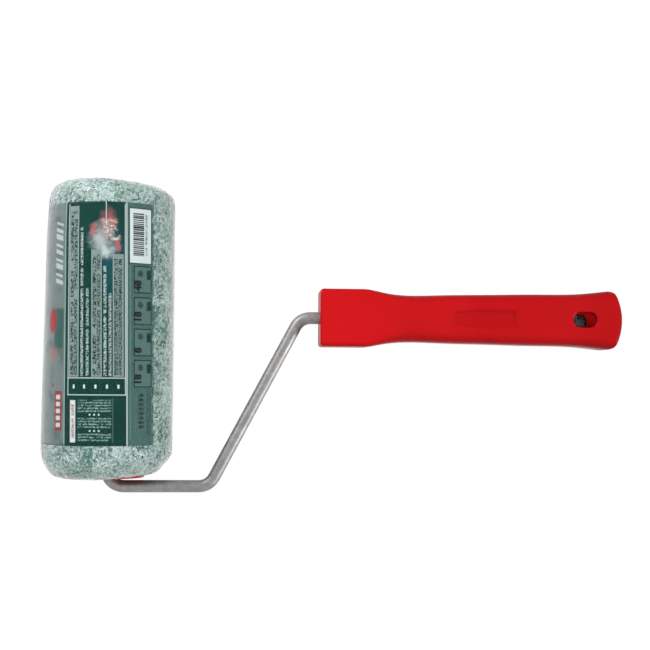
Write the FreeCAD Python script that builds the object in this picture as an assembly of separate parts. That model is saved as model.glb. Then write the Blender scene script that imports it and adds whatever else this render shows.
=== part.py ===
"""Paint roller: a pile sleeve on a sprung cage that spins on a cranked wire frame with a moulded handle.

Tool frame, in millimetres: the roller axis lies along Y with the roller's middle at the origin, X runs
from the roller towards the butt of the handle and Z points up, away from the surface the tool lies on.
The last step tips the handle down about the roller axis until its butt touches that surface, and moves
the origin to the middle of the tool's footprint. One STEP file is written per separate piece.
"""

import FreeCAD, Part
import math
import os

from FreeCAD import Placement, Rotation, Vector

# ---- sleeve: core tube, woven fabric, printed label and shrink film ----
core_length = 180.0
core_radius = 24.0
core_wall = 2.0
backing_thickness = 1.0
pile_depth = 16.5            # pressed down by the film
pile_shoulder_radius = 13.0  # rounding of the outer edge at each end
pile_lip_radius = 2.8        # rounding of the inner edge, where the pile swells past the core
free_end_swell = 3.4         # how much further the pile swells past the core at the free end
skin_gap = 0.05              # air between pile, label and film
label_thickness = 0.2
label_length = 151.0
label_offset = 4.2           # towards the free end
label_from_angle = -120.0    # about the roller axis, from +Z towards +X
label_to_angle = 52.0
film_thickness = 0.2
film_mouth_angle = 45.0      # how far the film follows the inner lip

# ---- cage: two hubs, bearing bushes, sprung rods and a middle spider ----
plug_clearance = 0.2         # hub skirt inside the core tube
skirt_wall = 2.0
flange_thickness = 3.0       # stop flange on the wire side, as wide as the core
inner_skirt_length = 18.0
outer_skirt_length = 16.0
hub_web_thickness = 3.0
hub_recess_depth = 8.0       # from the core's end to the web's outer face
barrel_radius = 9.0
barrel_length = 14.0         # behind the web
hub_rib_count = 5
hub_rib_thickness = 1.6
hub_rib_height = 5.0         # behind the web
skirt_lead_in = 1.2          # chamfer on the skirt's leading edge
bush_radius = 7.0
bush_clearance = 0.08        # running clearance on the axle
bush_flange_radius = 9.5
bush_flange_thickness = 1.5
rod_radius = 1.25
rod_count = 5
rod_seat_radius = 17.5       # rod circle at the hubs
rod_tube_gap = 0.3           # under the core tube at mid-length
rod_boss_radius = 2.7
rod_boss_length = 6.0
rod_seat_depth = 4.0
spider_thickness = 4.0
spider_wall = 2.5
spider_spoke_width = 3.0
spider_hub_radius = 8.0
spider_axle_gap = 0.6
end_cap_thickness = 1.5
end_cap_rim_depth = 2.0
end_cap_rim_wall = 1.2
end_cap_gap = 0.05

# ---- wire frame ----
wire_radius = 4.0
bend_radius = 11.0
crank_gap = 2.0              # between the hub flange and the crank run
crank_reach = 66.0           # from the roller axis to the lower corner
neck_reach = 124.5           # from the roller axis to the upper corner
handle_axis_height = 11.0    # handle axis above mid-roller, towards the free end
tang_length = 78.0           # inside the handle
wire_end_chamfer = 0.8
stop_ear_reach = 5.6         # crimped ears that keep the roller off the bend
stop_ear_length = 2.4
stop_ear_thickness = 3.0
tang_ear_reach = 5.4         # crimped ears that key the wire in the handle
tang_ear_length = 7.0
tang_ear_thickness = 3.2
tang_ear_inset = 12.0        # from the tang's end

# ---- washers and the push-on retainer on the axle ----
washer_radius = 7.5
washer_thickness = 1.0
washer_clearance = 0.15
axial_play = 0.2
retainer_radius = 8.0
retainer_rim = 2.0
retainer_thickness = 0.7
retainer_dome = 1.4
retainer_slot_count = 6
retainer_slot_width = 0.8
axle_overhang = 1.0          # past the retainer

# ---- handle ----
handle_start = 137.0         # head face, from the roller axis
handle_length = 199.8
butt_arc_radius = 38.0       # plan curve of the butt
butt_corner_radius = 7.0
butt_rim_radius = 3.0
face_fillet = 2.2
grip_corner_radius = 7.5
head_corner_radius = 3.2
head_length = 28.0           # the head's straight sides, before it narrows
# station: distance from the head face, half width (Y), half thickness (Z), corner radius
handle_stations = [
    (head_length, 18.9, 13.0, head_corner_radius),
    (34.0, 18.3, 13.0, 3.8),
    (43.0, 16.6, 12.9, 5.6),
    (53.0, 15.5, 12.8, grip_corner_radius),
    (79.9, 15.7, 13.2, grip_corner_radius),
    (111.9, 16.3, 13.8, grip_corner_radius),
    (143.9, 16.9, 14.0, grip_corner_radius),
    (173.8, 17.6, 14.2, grip_corner_radius),
    (189.8, 19.3, 15.4, grip_corner_radius),
    (handle_length, 19.4, 15.6, grip_corner_radius),
]
recess_start = 87.5          # thumb recess, from the head face
recess_length = 42.5
recess_half_width = 4.4
recess_bow = 1.0
recess_depth = 1.2
recess_slope = 1.8
hang_hole_inset = 24.8       # hole centre, from the butt
hang_hole_length = 15.4
hang_hole_width = 9.8
hang_hole_lip = 1.4
socket_radius = 9.0          # seat for an extension pole
socket_seat_depth = 62.0     # length of the parallel seat
socket_mouth_radius = 10.2
socket_lead_length = 36.0    # taper from the butt to the seat

# ---- values that follow ----
butt_half_width = max(w for _, w, _, _ in handle_stations) + skin_gap
butt_half_thickness = max(h for _, _, h, _ in handle_stations) + skin_gap
half_core = core_length / 2
core_bore = core_radius - core_wall
backing_radius = core_radius + backing_thickness
pile_radius = backing_radius + pile_depth
label_inner_radius = pile_radius + skin_gap
film_inner_radius = label_inner_radius + label_thickness + skin_gap
roller_radius = film_inner_radius + film_thickness
plug_radius = core_bore - plug_clearance
skirt_bore = plug_radius - skirt_wall
web_outer_face = half_core - hub_recess_depth
web_inner_face = web_outer_face - hub_web_thickness
barrel_end = web_inner_face - barrel_length
bush_outer_face = web_outer_face + bush_flange_thickness
washer_near_face = bush_outer_face + axial_play
washer_far_face = washer_near_face + washer_thickness
bush_bore = wire_radius + bush_clearance
rod_mid_radius = core_bore - rod_tube_gap - rod_radius
rod_end = web_inner_face - rod_boss_length + rod_seat_depth
axle_tip = washer_far_face + retainer_thickness + retainer_dome + axle_overhang
crank_line = -(half_core + flange_thickness + crank_gap + wire_radius)
handle_end = handle_start + handle_length
tang_end = handle_start + tang_length
slot_half_straight = (hang_hole_length - hang_hole_width) / 2

Y_AXIS = Vector(0, 1, 0)
Z_AXIS = Vector(0, 0, 1)
ORIGIN = Vector(0, 0, 0)
OVERCUT = 1.0                # how far a cutting solid runs past what it cuts


def turned(edges):
    """A solid turned about the roller axis from profile edges drawn as (radius, axial) in the XY plane."""
    return Part.Face(Part.Wire(edges)).revolve(ORIGIN, Y_AXIS, 360)


def polygon(points):
    """Closed straight profile edges through (radius, axial) points."""
    corners = [Vector(r, y, 0) for r, y in points]
    return [
        Part.LineSegment(a, b).toShape()
        for a, b in zip(corners, corners[1:] + corners[:1])
    ]


def ring(inner, outer, low, high):
    """A plain tube about the roller axis."""
    return turned(polygon([(inner, low), (outer, low), (outer, high), (inner, high)]))


def corner_arc(centre, radius, from_angle, to_angle):
    """A profile arc about centre, its angles in degrees from the outward radius towards +Y."""
    def at(angle):
        a = math.radians(angle)
        return Vector(centre[0] + radius * math.cos(a), centre[1] + radius * math.sin(a), 0)

    middle = (from_angle + to_angle) / 2
    return Part.Arc(at(from_angle), at(middle), at(to_angle)).toShape()


def joined(edges):
    """The edges in order, with a straight edge wherever one ends away from the next, and closed."""
    chain = []
    for edge, following in zip(edges, edges[1:] + edges[:1]):
        chain.append(edge)
        end = edge.valueAt(edge.LastParameter)
        start = following.valueAt(following.FirstParameter)
        if end.distanceToPoint(start) > 1e-6:
            chain.append(Part.LineSegment(end, start).toShape())
    return chain


def sleeve_arcs(grow):
    """The four rounded corners of the pile's section, pushed outwards by grow, by name: each is its
    centre and its radius."""
    lip_centre = backing_radius + pile_lip_radius
    lip = pile_lip_radius + grow
    shoulder = pile_shoulder_radius + grow
    shoulder_centre = pile_radius - pile_shoulder_radius
    rise = half_core + pile_lip_radius - pile_shoulder_radius
    return {
        "low_lip": ((lip_centre, -half_core), lip),
        "low_shoulder": ((shoulder_centre, -rise), shoulder),
        "high_shoulder": ((shoulder_centre, rise + free_end_swell), shoulder),
        "high_lip": ((lip_centre, half_core + free_end_swell), lip),
    }


def make_core_tube():
    return ring(core_bore, core_radius, -half_core, half_core)


def make_pile_backing():
    return ring(core_radius, backing_radius, -half_core, half_core)


def make_pile():
    """The pile as a full sleeve with rounded shoulders that swell past both ends of the core."""
    arcs = sleeve_arcs(0.0)
    return turned(joined([
        corner_arc(*arcs["low_lip"], 180, 270),
        corner_arc(*arcs["low_shoulder"], -90, 0),
        corner_arc(*arcs["high_shoulder"], 0, 90),
        corner_arc(*arcs["high_lip"], 90, 180),
    ]))


def make_label():
    """A thin printed wrap over part of the pile's circumference."""
    low = label_offset - label_length / 2
    section = Part.Face(Part.Wire(polygon([
        (label_inner_radius, low),
        (label_inner_radius + label_thickness, low),
        (label_inner_radius + label_thickness, low + label_length),
        (label_inner_radius, low + label_length),
    ])))
    # The profile lies along +X, which is 90 degrees from +Z towards +X.
    section.rotate(ORIGIN, Y_AXIS, label_from_angle - 90)
    return section.revolve(ORIGIN, Y_AXIS, label_to_angle - label_from_angle)


def make_shrink_film():
    """The film as a thin shell that follows the pile round both ends and stops short of the hub."""
    inner = sleeve_arcs(film_inner_radius - pile_radius)
    outer = sleeve_arcs(roller_radius - pile_radius)
    mouth = 270 - film_mouth_angle
    return turned(joined([
        corner_arc(*outer["low_lip"], mouth, 270),
        corner_arc(*outer["low_shoulder"], -90, 0),
        corner_arc(*outer["high_shoulder"], 0, 90),
        corner_arc(*outer["high_lip"], 90, 360 - mouth),
        corner_arc(*inner["high_lip"], 360 - mouth, 90),
        corner_arc(*inner["high_shoulder"], 90, 0),
        corner_arc(*inner["low_shoulder"], 0, -90),
        corner_arc(*inner["low_lip"], 270, mouth),
    ]))


def make_rod(index):
    """One sprung rod, an arc that bows out from the hub seats towards the core tube."""
    points = [
        Vector(rod_seat_radius, -rod_end, 0),
        Vector(rod_mid_radius, 0, 0),
        Vector(rod_seat_radius, rod_end, 0),
    ]
    bow = Part.Arc(*points)
    path = Part.Wire([bow.toShape()])
    start = Part.Circle(points[0], bow.tangent(bow.FirstParameter)[0], rod_radius)
    rod = path.makePipeShell([Part.Wire([start.toShape()])], True, False)
    rod.rotate(ORIGIN, Y_AXIS, 360.0 * index / rod_count)
    return rod


def make_hub(skirt_length, flange, rods):
    """A moulded hub at the +Y end: skirt, web, barrel with a bush seat, ribs and rod bosses."""
    skirt_end = half_core - skirt_length
    hub = turned(polygon([
        (skirt_bore, skirt_end),
        (plug_radius - skirt_lead_in / 2, skirt_end),
        (plug_radius, skirt_end + skirt_lead_in),
        (plug_radius, half_core),
        (skirt_bore, half_core),
    ]))
    hub = hub.fuse(ring(bush_radius, plug_radius, web_inner_face, web_outer_face))
    hub = hub.fuse(ring(bush_radius, barrel_radius, barrel_end, web_outer_face))
    if flange:
        hub = hub.fuse(ring(skirt_bore, core_radius, half_core, half_core + flange_thickness))
    span = plug_radius - skirt_wall / 2 - barrel_radius + OVERCUT
    for i in range(hub_rib_count):
        rib = Part.makeBox(
            span, hub_rib_height, hub_rib_thickness,
            Vector(barrel_radius - OVERCUT, web_inner_face - hub_rib_height, -hub_rib_thickness / 2),
        )
        rib.rotate(ORIGIN, Y_AXIS, 360.0 * (i + 0.5) / hub_rib_count)
        hub = hub.fuse(rib)
    for i in range(rod_count):
        boss = Part.makeCylinder(
            rod_boss_radius, rod_boss_length + hub_web_thickness / 2,
            Vector(rod_seat_radius, web_inner_face - rod_boss_length, 0), Y_AXIS,
        )
        boss.rotate(ORIGIN, Y_AXIS, 360.0 * i / rod_count)
        hub = hub.fuse(boss)
    if flange:
        hub = turned_over(hub)
    for rod in rods:
        hub = hub.cut(rod)
    return hub.removeSplitter()


def turned_over(shape):
    """The same shape at the other end of the roller."""
    copy = shape.copy()
    copy.rotate(ORIGIN, Vector(1, 0, 0), 180)
    return copy


def make_bush():
    """The flanged bearing bush of the free end."""
    return turned(polygon([
        (bush_bore, barrel_end),
        (bush_radius, barrel_end),
        (bush_radius, web_outer_face),
        (bush_flange_radius, web_outer_face),
        (bush_flange_radius, bush_outer_face),
        (bush_bore, bush_outer_face),
    ]))


def make_spider(rods):
    """The middle disc that keeps the rods apart: rim, spokes and a clear hole for the axle."""
    half = spider_thickness / 2
    rim = rod_mid_radius - rod_radius / 2
    spider = ring(rim - spider_wall, rim, -half, half)
    spider = spider.fuse(ring(wire_radius + spider_axle_gap, spider_hub_radius, -half, half))
    for i in range(rod_count):
        spoke = Part.makeBox(
            rim - spider_wall / 2 - spider_hub_radius + OVERCUT, spider_thickness, spider_spoke_width,
            Vector(spider_hub_radius - OVERCUT, -half, -spider_spoke_width / 2),
        )
        spoke.rotate(ORIGIN, Y_AXIS, 360.0 * i / rod_count)
        spider = spider.fuse(spoke)
    for rod in rods:
        spider = spider.cut(rod)
    return spider.removeSplitter()


def make_end_cap():
    """The disc that closes the free end's hub, with a rim that grips inside the skirt."""
    rim = skirt_bore - end_cap_gap
    face = half_core - end_cap_thickness
    cap = ring_disc(rim, face, half_core)
    cap = cap.fuse(ring(rim - end_cap_rim_wall, rim, face - end_cap_rim_depth, face))
    return cap.removeSplitter()


def ring_disc(radius, low, high):
    """A plain disc about the roller axis."""
    return Part.makeCylinder(radius, high - low, Vector(0, low, 0), Y_AXIS)


def make_washer():
    """The thrust washer of the free end."""
    return ring(wire_radius + washer_clearance, washer_radius, washer_near_face, washer_far_face)


def make_retainer():
    """A push-on retainer: a flat rim with a domed, slotted middle that grips the axle."""
    base = washer_far_face
    inner_rim = retainer_radius - retainer_rim
    top = base + retainer_thickness
    body = turned(polygon([
        (wire_radius, base + retainer_dome),
        (inner_rim, base),
        (retainer_radius, base),
        (retainer_radius, top),
        (inner_rim, top),
        (wire_radius, top + retainer_dome),
    ]))
    for i in range(retainer_slot_count):
        slot = Part.makeBox(
            inner_rim, retainer_dome + 2 * retainer_thickness, retainer_slot_width,
            Vector(0, base, -retainer_slot_width / 2),
        )
        slot.rotate(ORIGIN, Y_AXIS, 360.0 * (i + 0.5) / retainer_slot_count)
        body = body.cut(slot)
    return body


def bent_path(corners, radius):
    """Straight runs through the corners, joined by tangent arcs of one radius."""
    edges = []
    start = corners[0]
    for before, corner, after in zip(corners, corners[1:], corners[2:]):
        incoming = (corner - before).normalize()
        outgoing = (after - corner).normalize()
        half_turn = incoming.getAngle(outgoing) / 2
        setback = radius * math.tan(half_turn)
        first = corner - incoming * setback
        last = corner + outgoing * setback
        inward = (outgoing - incoming).normalize()
        middle = corner + inward * (radius / math.cos(half_turn) - radius)
        edges.append(Part.LineSegment(start, first).toShape())
        edges.append(Part.Arc(first, middle, last).toShape())
        start = last
    edges.append(Part.LineSegment(start, corners[-1]).toShape())
    return Part.Wire(edges)


def block_about(centre, size_x, size_y, size_z):
    """A box centred on a point."""
    return Part.makeBox(size_x, size_y, size_z, centre - Vector(size_x, size_y, size_z) * 0.5)


def make_wire_frame():
    """One bent wire: axle, crank run, slanting arm and tang, with crimped ears at the stop and the tang."""
    corners = [
        Vector(0, axle_tip, 0),
        Vector(0, crank_line, 0),
        Vector(crank_reach, crank_line, 0),
        Vector(neck_reach, handle_axis_height, 0),
        Vector(tang_end, handle_axis_height, 0),
    ]
    section = Part.Wire([Part.Circle(corners[0], Vector(0, -1, 0), wire_radius).toShape()])
    wire = bent_path(corners, bend_radius).makePipeShell([section], True, False)
    rims = [
        e for e in wire.Edges
        if e.Length < 2 * math.pi * wire_radius * 1.01
        and (abs(e.BoundBox.YMin - axle_tip) < 1e-3 or abs(e.BoundBox.XMin - tang_end) < 1e-3)
    ]
    wire = wire.makeChamfer(wire_end_chamfer, rims)
    stop_middle = -(washer_far_face + stop_ear_length / 2)
    ears = block_about(
        Vector(0, stop_middle, 0), 2 * stop_ear_reach, stop_ear_length, stop_ear_thickness
    )
    tang_ears = block_about(
        Vector(tang_end - tang_ear_inset, handle_axis_height, 0),
        tang_ear_length, 2 * tang_ear_reach, tang_ear_thickness,
    )
    return wire.fuse(ears).fuse(tang_ears).removeSplitter()


def rounded_section(x, half_width, half_thickness, corner):
    """A rounded rectangle across the handle at x, centred on the handle's axis."""
    w, h = half_width, half_thickness
    diagonal = corner * (1 - math.cos(math.radians(45)))
    corners = [(w, h, 1, 1), (-w, h, -1, 1), (-w, -h, -1, -1), (w, -h, 1, -1)]
    edges = []
    for index, (cy, cz, sy, sz) in enumerate(corners):
        side = (cy, cz - sz * corner)
        top = (cy - sy * corner, cz)
        middle = (cy - sy * diagonal, cz - sz * diagonal)
        first, last = (side, top) if index % 2 == 0 else (top, side)
        edges.append((first, middle, last))
    wire = []
    for (first, middle, last), (following, _, _) in zip(edges, edges[1:] + edges[:1]):
        a, m, b, n = (
            Vector(x, handle_axis_height + p[0], p[1]) for p in (first, middle, last, following)
        )
        wire.append(Part.Arc(a, m, b).toShape())
        wire.append(Part.LineSegment(b, n).toShape())
    return Part.Wire(wire)


def half_thickness_at(x):
    """The handle's half thickness at x, straight between stations."""
    along = x - handle_start
    for (a, _, ha, _), (b, _, hb, _) in zip(handle_stations, handle_stations[1:]):
        if a <= along <= b:
            return ha + (hb - ha) * (along - a) / (b - a)
    raise ValueError("x is outside the handle")


def bowed_outline(x, z, length, half_width, bow):
    """A rectangle whose two long sides bow outwards, in a plane at height z, starting at x."""
    low, high = handle_axis_height - half_width, handle_axis_height + half_width
    a, b = Vector(x, low, z), Vector(x + length, low, z)
    c, d = Vector(x + length, high, z), Vector(x, high, z)
    return Part.Wire([
        Part.Arc(a, Vector(x + length / 2, low - bow, z), b).toShape(),
        Part.LineSegment(b, c).toShape(),
        Part.Arc(c, Vector(x + length / 2, high + bow, z), d).toShape(),
        Part.LineSegment(d, a).toShape(),
    ])


def recess_cutter():
    """The thumb recess above the upper flat of the grip, with sloping sides."""
    start = handle_start + recess_start
    surface = half_thickness_at(start + recess_length / 2)
    rise = recess_depth * 2
    grow = recess_slope * rise / recess_depth
    floor = bowed_outline(
        start + recess_slope, surface - recess_depth,
        recess_length - 2 * recess_slope, recess_half_width - recess_slope / 2, recess_bow,
    )
    mouth = bowed_outline(
        start + recess_slope - grow, surface - recess_depth + rise,
        recess_length - 2 * recess_slope + 2 * grow,
        recess_half_width - recess_slope / 2 + grow, recess_bow,
    )
    return Part.makeLoft([floor, mouth], True, True)


def slot_cutter():
    """The upright hanging slot right through the handle."""
    x = handle_end - hang_hole_inset
    y = handle_axis_height
    r = hang_hole_width / 2
    tall = 2 * max(h for _, _, h, _ in handle_stations) + 2 * OVERCUT
    left, right = x - slot_half_straight, x + slot_half_straight
    outline = Part.Wire([
        Part.LineSegment(Vector(left, y - r, 0), Vector(right, y - r, 0)).toShape(),
        Part.Arc(Vector(right, y - r, 0), Vector(right + r, y, 0), Vector(right, y + r, 0)).toShape(),
        Part.LineSegment(Vector(right, y + r, 0), Vector(left, y + r, 0)).toShape(),
        Part.Arc(Vector(left, y + r, 0), Vector(left - r, y, 0), Vector(left, y - r, 0)).toShape(),
    ])
    cutter = Part.Face(outline).extrude(Z_AXIS * tall)
    cutter.translate(Vector(0, 0, -tall / 2))
    return cutter


def butt_form():
    """The plan outline of the whole handle with its round butt, as a slab with rounded rims."""
    wide = butt_half_width
    tall = butt_half_thickness
    y = handle_axis_height
    start = handle_start - 2 * butt_rim_radius
    centre = handle_end - butt_arc_radius
    # The corner arc touches the straight side and, from inside, the butt arc.
    corner_y = wide - butt_corner_radius
    reach = butt_arc_radius - butt_corner_radius
    corner_x = centre + math.sqrt(reach ** 2 - corner_y ** 2)
    lean = math.atan2(corner_y, corner_x - centre)

    def on_arc(angle, side):
        return Vector(
            centre + butt_arc_radius * math.cos(angle), y + side * butt_arc_radius * math.sin(angle), 0
        )

    def on_corner(angle, side):
        return Vector(
            corner_x + butt_corner_radius * math.cos(angle),
            y + side * (corner_y + butt_corner_radius * math.sin(angle)), 0,
        )

    right = math.pi / 2
    between = (lean + right) / 2
    outline = Part.Wire([
        Part.LineSegment(Vector(start, y - wide, 0), on_corner(right, -1)).toShape(),
        Part.Arc(on_corner(right, -1), on_corner(between, -1), on_arc(lean, -1)).toShape(),
        Part.Arc(on_arc(lean, -1), on_arc(0, 1), on_arc(lean, 1)).toShape(),
        Part.Arc(on_arc(lean, 1), on_corner(between, 1), on_corner(right, 1)).toShape(),
        Part.LineSegment(on_corner(right, 1), Vector(start, y + wide, 0)).toShape(),
        Part.LineSegment(Vector(start, y + wide, 0), Vector(start, y - wide, 0)).toShape(),
    ])
    slab = Part.Face(outline).extrude(Z_AXIS * (2 * tall))
    slab.translate(Vector(0, 0, -tall))
    rims = [e for e in slab.Edges if e.BoundBox.ZLength < 1e-3 and e.BoundBox.XMax > start + 1e-3]
    return slab.makeFillet(butt_rim_radius, rims)


def pole_socket():
    """The socket for an extension pole: a tapered lead from the butt and a parallel seat."""
    x_axis = Vector(1, 0, 0)
    seat_start = handle_end - socket_lead_length - socket_seat_depth
    seat = Part.makeCylinder(
        socket_radius, socket_seat_depth, Vector(seat_start, handle_axis_height, 0), x_axis
    )
    slope = (socket_mouth_radius - socket_radius) / socket_lead_length
    lead = Part.makeCone(
        socket_radius, socket_mouth_radius + slope * OVERCUT, socket_lead_length + OVERCUT,
        Vector(handle_end - socket_lead_length, handle_axis_height, 0), x_axis,
    )
    return seat.fuse(lead)


def make_handle(wire):
    """The moulded handle: a square head that narrows to a faceted grip and flares at the butt."""
    sections = [
        rounded_section(handle_start + along, w, h, r) for along, w, h, r in handle_stations
    ]
    head = Part.Face(rounded_section(handle_start, *handle_stations[0][1:]))
    head = head.extrude(Vector(head_length, 0, 0))
    face_edges = [e for e in head.Edges if e.BoundBox.XMax < handle_start + 1e-3]
    head = head.makeFillet(face_fillet, face_edges)
    body = head.fuse(Part.makeLoft(sections, True, False))
    body = body.common(butt_form())
    recess = recess_cutter()
    body = body.cut(recess)
    body = body.cut(recess.mirror(ORIGIN, Z_AXIS))
    body = body.cut(slot_cutter())
    lip = [
        e for e in body.Edges
        if abs((e.BoundBox.XMax + e.BoundBox.XMin) / 2 - handle_end + hang_hole_inset)
        < hang_hole_length / 2
        and e.BoundBox.YLength < hang_hole_width * 1.01
        and e.BoundBox.XLength < hang_hole_length
        and abs(e.BoundBox.ZMax + e.BoundBox.ZMin) > half_thickness_at(handle_end - hang_hole_inset)
        and abs(e.BoundBox.YMax + e.BoundBox.YMin - 2 * handle_axis_height) < hang_hole_width * 1.01
        and e.BoundBox.ZLength < hang_hole_lip
    ]
    body = body.makeFillet(hang_hole_lip, lip)
    body = body.cut(pole_socket())
    return body.cut(wire)


def rest_tilt():
    """The angle that brings the butt's lower rim down to the surface the roller lies on."""
    rim_x = handle_end - butt_rim_radius
    rim_z = butt_half_thickness - butt_rim_radius
    drop = roller_radius - butt_rim_radius
    return math.degrees(math.asin(drop / math.hypot(rim_x, rim_z)) - math.atan2(rim_z, rim_x))


def make_parts():
    """Every piece by its name, in the tool frame, grouped into what is tipped and what isn't."""
    rods = [make_rod(i) for i in range(rod_count)]
    wire = make_wire_frame()
    bush = make_bush()
    washer = make_washer()
    tipped = {
        "handle": make_handle(wire),
        "wire_frame": wire,
    }
    level = {
        "core_tube": make_core_tube(),
        "pile_backing": make_pile_backing(),
        "pile": make_pile(),
        "label": make_label(),
        "shrink_film": make_shrink_film(),
        "inner_hub": make_hub(inner_skirt_length, True, rods),
        "outer_hub": make_hub(outer_skirt_length, False, rods),
        "inner_bush": turned_over(bush),
        "outer_bush": bush,
        "cage_spider": make_spider(rods),
        "end_cap": make_end_cap(),
        "inner_washer": turned_over(washer),
        "outer_washer": washer,
        "axle_retainer": make_retainer(),
    }
    for index, rod in enumerate(rods):
        level[f"cage_rod_{index + 1}"] = rod
    return tipped, level


def footprint_shift(shapes):
    """The move that puts the origin under the middle of the tool, on the surface it lies on."""
    boxes = [s.optimalBoundingBox(False, False) for s in shapes]
    middle_x = (min(b.XMin for b in boxes) + max(b.XMax for b in boxes)) / 2
    middle_y = (min(b.YMin for b in boxes) + max(b.YMax for b in boxes)) / 2
    return Vector(-middle_x, -middle_y, roller_radius)


def main():
    tipped, level = make_parts()
    tip = Placement(ORIGIN, Rotation(Y_AXIS, rest_tilt()))
    for shape in tipped.values():
        shape.Placement = tip.multiply(shape.Placement)
    pieces = {**tipped, **level}
    shift = footprint_shift([pieces["handle"], pieces["wire_frame"], pieces["shrink_film"]])
    os.makedirs("parts", exist_ok=True)
    for name, shape in pieces.items():
        shape.translate(shift)
        shape.exportStep(f"parts/{name}.step")
        print(f"{name:15s} {len(shape.Solids)} solid  {shape.Volume:10.1f} mm3  valid {shape.isValid()}")
    print("origin shift", tuple(round(v, 4) for v in shift), "tilt", round(rest_tilt(), 4))


if __name__ == "__main__":
    main()
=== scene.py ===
"""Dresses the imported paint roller: pile, printed wrap, clear film, zinc-plated wire and moulded handle.

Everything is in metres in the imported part's own frame. The roller's axis runs along Y, X runs from the
roller to the handle's butt, and Z is up from the surface that the tool lies on. Angles round the roller
start at its top and grow towards the handle.
"""

import logging
import math
from dataclasses import dataclass
from enum import Enum

import bmesh
import bpy
import numpy as np
from mathutils import Matrix, Vector


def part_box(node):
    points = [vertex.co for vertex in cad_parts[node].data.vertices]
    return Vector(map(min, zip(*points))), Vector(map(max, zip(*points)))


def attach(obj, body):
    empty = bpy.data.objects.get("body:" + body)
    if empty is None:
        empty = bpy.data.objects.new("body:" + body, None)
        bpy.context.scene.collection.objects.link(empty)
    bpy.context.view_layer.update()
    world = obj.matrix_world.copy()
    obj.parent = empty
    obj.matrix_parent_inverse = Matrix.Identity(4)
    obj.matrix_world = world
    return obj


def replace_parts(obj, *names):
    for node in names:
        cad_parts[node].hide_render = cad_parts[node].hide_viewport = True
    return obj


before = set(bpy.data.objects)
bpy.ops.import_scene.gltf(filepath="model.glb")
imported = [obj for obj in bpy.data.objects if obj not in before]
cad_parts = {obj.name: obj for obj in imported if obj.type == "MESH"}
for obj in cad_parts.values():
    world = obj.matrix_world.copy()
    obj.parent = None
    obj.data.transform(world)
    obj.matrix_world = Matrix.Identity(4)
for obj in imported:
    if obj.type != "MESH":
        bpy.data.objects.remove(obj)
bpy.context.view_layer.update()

LOG = logging.getLogger("paint_roller")
Array = np.ndarray
Colour = tuple[float, float, float]
MM = 0.001
LOCK_POINTS = 18
SHOWN_TO = ("Is Camera Ray", "Is Glossy Ray", "Is Transmission Ray")


# ---------------------------------------------------------------- shapes


def smooth_step(x: Array, low: float, high: float) -> Array:
    """Ease from 0 at low to 1 at high: t squared times (3 - 2t), where t is the share of the way.

    Args:
        x: Values to ease.
        low: Where the result leaves 0.
        high: Where it reaches 1.

    Returns:
        An array like x.
    """
    t = np.clip((x - low) / (high - low), 0.0, 1.0)
    return t * t * (3.0 - 2.0 * t)


def lattice_noise(u: Array, v: Array, cells_u: int, cells_v: int, seed: int) -> Array:
    """Smooth noise from -1 to 1 that repeats every whole step of u and of v.

    Random values sit on a lattice of cells_u by cells_v, and each point takes the average of the four
    values round it, weighted by smooth steps of its place in the cell.

    Args:
        u: First coordinate, one repeat per unit.
        v: Second coordinate, one repeat per unit.
        cells_u: Lattice cells in a unit of u.
        cells_v: Lattice cells in a unit of v.
        seed: Seed of the lattice.

    Returns:
        An array like u.
    """
    lattice = np.random.default_rng(seed).uniform(-1.0, 1.0, (cells_u, cells_v))
    x, y = (u % 1.0) * cells_u, (v % 1.0) * cells_v
    i, j = np.floor(x).astype(int), np.floor(y).astype(int)
    fx, fy = x - i, y - j
    fx, fy = fx * fx * (3 - 2 * fx), fy * fy * (3 - 2 * fy)
    i0, j0, i1, j1 = i % cells_u, j % cells_v, (i + 1) % cells_u, (j + 1) % cells_v
    low = lattice[i0, j0] * (1 - fx) + lattice[i1, j0] * fx
    high = lattice[i0, j1] * (1 - fx) + lattice[i1, j1] * fx
    return low * (1 - fy) + high * fy


def unit(vectors: Array) -> Array:
    """Vectors divided by their own lengths."""
    return vectors / (np.linalg.norm(vectors, axis=-1, keepdims=True) + 1e-12)


def grid_faces(rows: int, columns: int, wrap_rows: bool, wrap_columns: bool) -> Array:
    """Four-sided faces of a grid of points stored row by row.

    Each face joins a point, its neighbour in the row, and the same two in the next row. A wrapped
    direction joins its last line of points to its first.

    Args:
        rows: Lines of points.
        columns: Points in a line.
        wrap_rows: Whether the last line joins the first.
        wrap_columns: Whether each line is a ring.

    Returns:
        An array of four point numbers a face.
    """
    i = np.arange(rows if wrap_rows else rows - 1)
    j = np.arange(columns if wrap_columns else columns - 1)
    i, j = np.meshgrid(i, j, indexing="ij")
    i1, j1 = (i + 1) % rows, (j + 1) % columns
    corners = (i * columns + j, i * columns + j1, i1 * columns + j1, i1 * columns + j)
    return np.stack(corners, axis=-1).reshape(-1, 4)


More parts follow.
